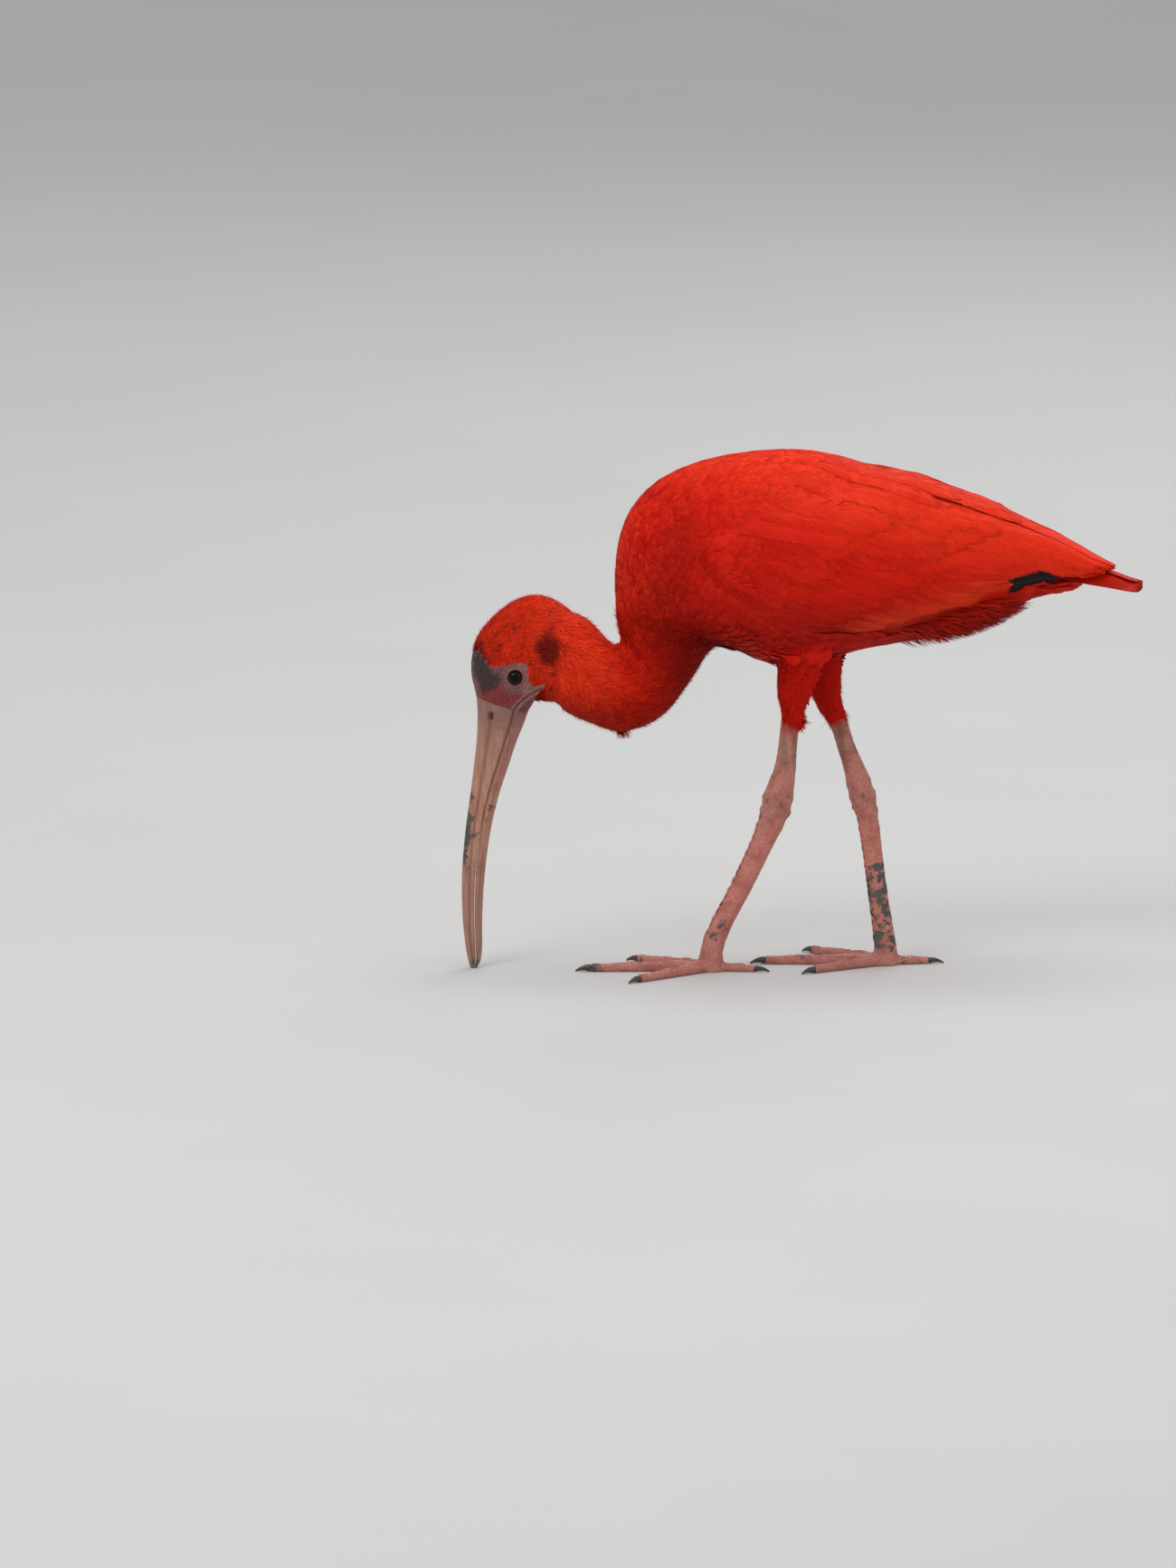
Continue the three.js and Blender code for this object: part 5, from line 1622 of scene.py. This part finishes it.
def build_legs(settings):
    tree, sockets = scute_tree()
    for side in SIDES:
        toes = ["toe_" + toe for toe in TOE_NAMES]
        names = [f"{node}_{side}" for node in ("shank", "tarsus", "foot", *toes)]
        voxel = settings.leg_voxel * MM
        leg = merged_copy("leg_" + side, names, 0.25 * MM, voxel, 9, extras=[leg_stub(side)])
        co = roughen_leg(leg)
        colour, mud = leg_colours(co, side)
        add_values(leg.data, marking=colour, mud=mud)
        finish_piece(leg, MATERIALS.leg(), names)
        surface = surface_of(leg)[0]
        places = front_places(side, surface, co)
        scutes("front_scutes_" + side, tree, sockets, places, (2.9, 2.35, 0.42), side)
        scutes("toe_scutes_" + side, tree, sockets, toe_places(side, surface), (1.8, 1.2, 0.35), side)


def build_claws():
    names = [f"claw_{toe}_{side}" for side in SIDES for toe in TOE_NAMES]
    claws = merged_copy("claws", names, 0.12 * MM, 0.35 * MM, 5)
    co = points_of(claws)
    co[:, 2] = np.maximum(co[:, 2], 0.0)
    set_points(claws, co)
    finish_piece(claws, MATERIALS.claw(), names)


# The add-on

def length(name, description, default, **more):
    return bpy.props.FloatProperty(name=name, description=description, default=default, unit="LENGTH", **more)


def number(name, description, default, **more):
    return bpy.props.FloatProperty(name=name, description=description, default=default, **more)


def paint(name, description, default):
    return bpy.props.FloatVectorProperty(name=name, description=description, default=tuple(default),
                                         subtype="COLOR", size=3, min=0, max=1)


class IBIS_PG_stage(bpy.types.PropertyGroup):
    elevation: number("Camera elevation", "Degrees over the floor", 9.0)
    distance: length("Camera distance", "From the middle of the picture", 12.0)
    frame_height: length("Frame height", "What the picture takes in", 0.901)
    target_x: length("Target X", "Middle of the picture along the bird", -0.123)
    target_z: length("Target Z", "Middle of the picture over the floor", 0.107)
    ambient: number("Ambient light", "Strength of the light from all round", 0.62)
    key_power: number("Key light", "Power of the main soft light in watts", 38.0)


class IBIS_PG_sizes(bpy.types.PropertyGroup):
    skin_voxel: number("Skin grain", "Size of the skin's faces in millimetres", 1.5, min=0.8)
    leg_voxel: number("Leg grain", "Size of the legs' faces in millimetres", 0.75, min=0.4)
    eye_opening: number("Eye opening", "Radius between the lids in millimetres", 4.1, min=3.0, max=4.5)
    coat_spacing: number("Coat spacing", "Times the usual space between small feathers", 1.0, min=0.9)
    feather_length: number(
        "Feather length", "Times the usual length of the small feathers", 1.0, min=0.5, max=1.5)


class IBIS_PG_colours(bpy.types.PropertyGroup):
    scarlet: paint("Scarlet", "Main colour of the plumage", SCARLET)
    orange_red: paint("Orange red", "Plumage of the crown and the lit back", ORANGE_RED)
    # Crimson also carries the painted shade of breast, belly, the hollow before the wing, shoulder and side.
    crimson: paint("Crimson", "Plumage of breast and belly", CRIMSON)
    wing_black: paint("Wing black", "Tips of the outer flight feathers", WING_BLACK)
    face_purple: paint("Face", "Bare skin of the cheek", SKIN_PURPLE)
    eye_ring: paint("Eye ring", "Bare skin round the eye", EYE_RING)
    leg_salmon: paint("Legs", "Main colour of the legs", LEG_SALMON)
    bill_tan: paint("Bill", "Main colour of the bill", BILL_TAN)


PAINTS = {"scarlet": SCARLET, "orange_red": ORANGE_RED, "crimson": CRIMSON, "wing_black": WING_BLACK,
          "face_purple": SKIN_PURPLE, "eye_ring": EYE_RING, "leg_salmon": LEG_SALMON, "bill_tan": BILL_TAN}


def run(context, build, *settings):
    """Build a piece with the colours of the panel. What goes wrong is raised."""
    for name, colour in PAINTS.items():
        colour[:] = getattr(context.scene.ibis_colours, name)
    build(*settings)
    return {"FINISHED"}


class IBIS_OT_stage(bpy.types.Operator):
    """Adds the camera, the floor and the lights"""
    bl_idname = "ibis.stage"
    bl_label = "Stage"

    def execute(self, context):
        return run(context, build_stage, context.scene.ibis_stage)


class IBIS_OT_skin(bpy.types.Operator):
    """Adds the skin under the coat"""
    bl_idname = "ibis.skin"
    bl_label = "Skin"

    def execute(self, context):
        return run(context, build_skin, context.scene.ibis_sizes)


class IBIS_OT_face(bpy.types.Operator):
    """Adds the bare face"""
    bl_idname = "ibis.face"
    bl_label = "Face"

    def execute(self, context):
        return run(context, build_face)


class IBIS_OT_eyes(bpy.types.Operator):
    """Adds both eyeballs"""
    bl_idname = "ibis.eyes"
    bl_label = "Eyes"

    def execute(self, context):
        return run(context, build_eyes)


class IBIS_OT_lids(bpy.types.Operator):
    """Adds the lids round the eyes"""
    bl_idname = "ibis.lids"
    bl_label = "Lids"

    def execute(self, context):
        return run(context, build_lids, context.scene.ibis_sizes)


class IBIS_OT_bill(bpy.types.Operator):
    """Adds both halves of the bill"""
    bl_idname = "ibis.bill"
    bl_label = "Bill"

    def execute(self, context):
        return run(context, build_bill)


class IBIS_OT_legs(bpy.types.Operator):
    """Adds the legs, feet and scutes"""
    bl_idname = "ibis.legs"
    bl_label = "Legs"

    def execute(self, context):
        return run(context, build_legs, context.scene.ibis_sizes)


class IBIS_OT_claws(bpy.types.Operator):
    """Adds the claws"""
    bl_idname = "ibis.claws"
    bl_label = "Claws"

    def execute(self, context):
        return run(context, build_claws)


class IBIS_OT_wings(bpy.types.Operator):
    """Adds the flight feathers and the coverts"""
    bl_idname = "ibis.wings"
    bl_label = "Wings"

    def execute(self, context):
        return run(context, build_wings)


class IBIS_OT_tail(bpy.types.Operator):
    """Adds the tail feathers"""
    bl_idname = "ibis.tail"
    bl_label = "Tail"

    def execute(self, context):
        return run(context, build_tail)


class IBIS_OT_body_coat(bpy.types.Operator):
    """Adds the small feathers of neck, body and thighs"""
    bl_idname = "ibis.body_coat"
    bl_label = "Body coat"

    def execute(self, context):
        return run(context, build_body_coat, context.scene.ibis_sizes)


class IBIS_OT_head_coat(bpy.types.Operator):
    """Adds the small feathers of the head"""
    bl_idname = "ibis.head_coat"
    bl_label = "Head coat"

    def execute(self, context):
        return run(context, build_head_coat)


OPERATORS = [IBIS_OT_stage, IBIS_OT_skin, IBIS_OT_face, IBIS_OT_eyes, IBIS_OT_lids, IBIS_OT_bill,
             IBIS_OT_legs, IBIS_OT_claws, IBIS_OT_wings, IBIS_OT_tail, IBIS_OT_body_coat, IBIS_OT_head_coat]


class IBIS_PT_panel(bpy.types.Panel):
    """Lists the settings and the pieces of the bird"""
    bl_idname = "IBIS_PT_panel"
    bl_label = "Scarlet ibis"
    bl_space_type = "VIEW_3D"
    bl_region_type = "UI"
    bl_category = "Ibis"

    def draw(self, context):
        scene = context.scene
        for settings in (scene.ibis_stage, scene.ibis_sizes, scene.ibis_colours):
            box = self.layout.box()
            for key in settings.bl_rna.properties.keys():
                if key not in ("rna_type", "name"):
                    box.prop(settings, key)
        for operator in OPERATORS:
            self.layout.operator(operator.bl_idname)


GROUPS = {"ibis_stage": IBIS_PG_stage, "ibis_sizes": IBIS_PG_sizes, "ibis_colours": IBIS_PG_colours}
CLASSES = [*GROUPS.values(), *OPERATORS, IBIS_PT_panel]


def register():
    for each in CLASSES:
        bpy.utils.register_class(each)
    for name, group in GROUPS.items():
        setattr(bpy.types.Scene, name, bpy.props.PointerProperty(type=group))


def unregister():
    for name in GROUPS:
        delattr(bpy.types.Scene, name)
    for each in reversed(CLASSES):
        bpy.utils.unregister_class(each)


def main():
    register()
    for operator in OPERATORS:
        getattr(bpy.ops.ibis, operator.bl_idname.split(".")[1])()


if __name__ == "__main__":
    main()
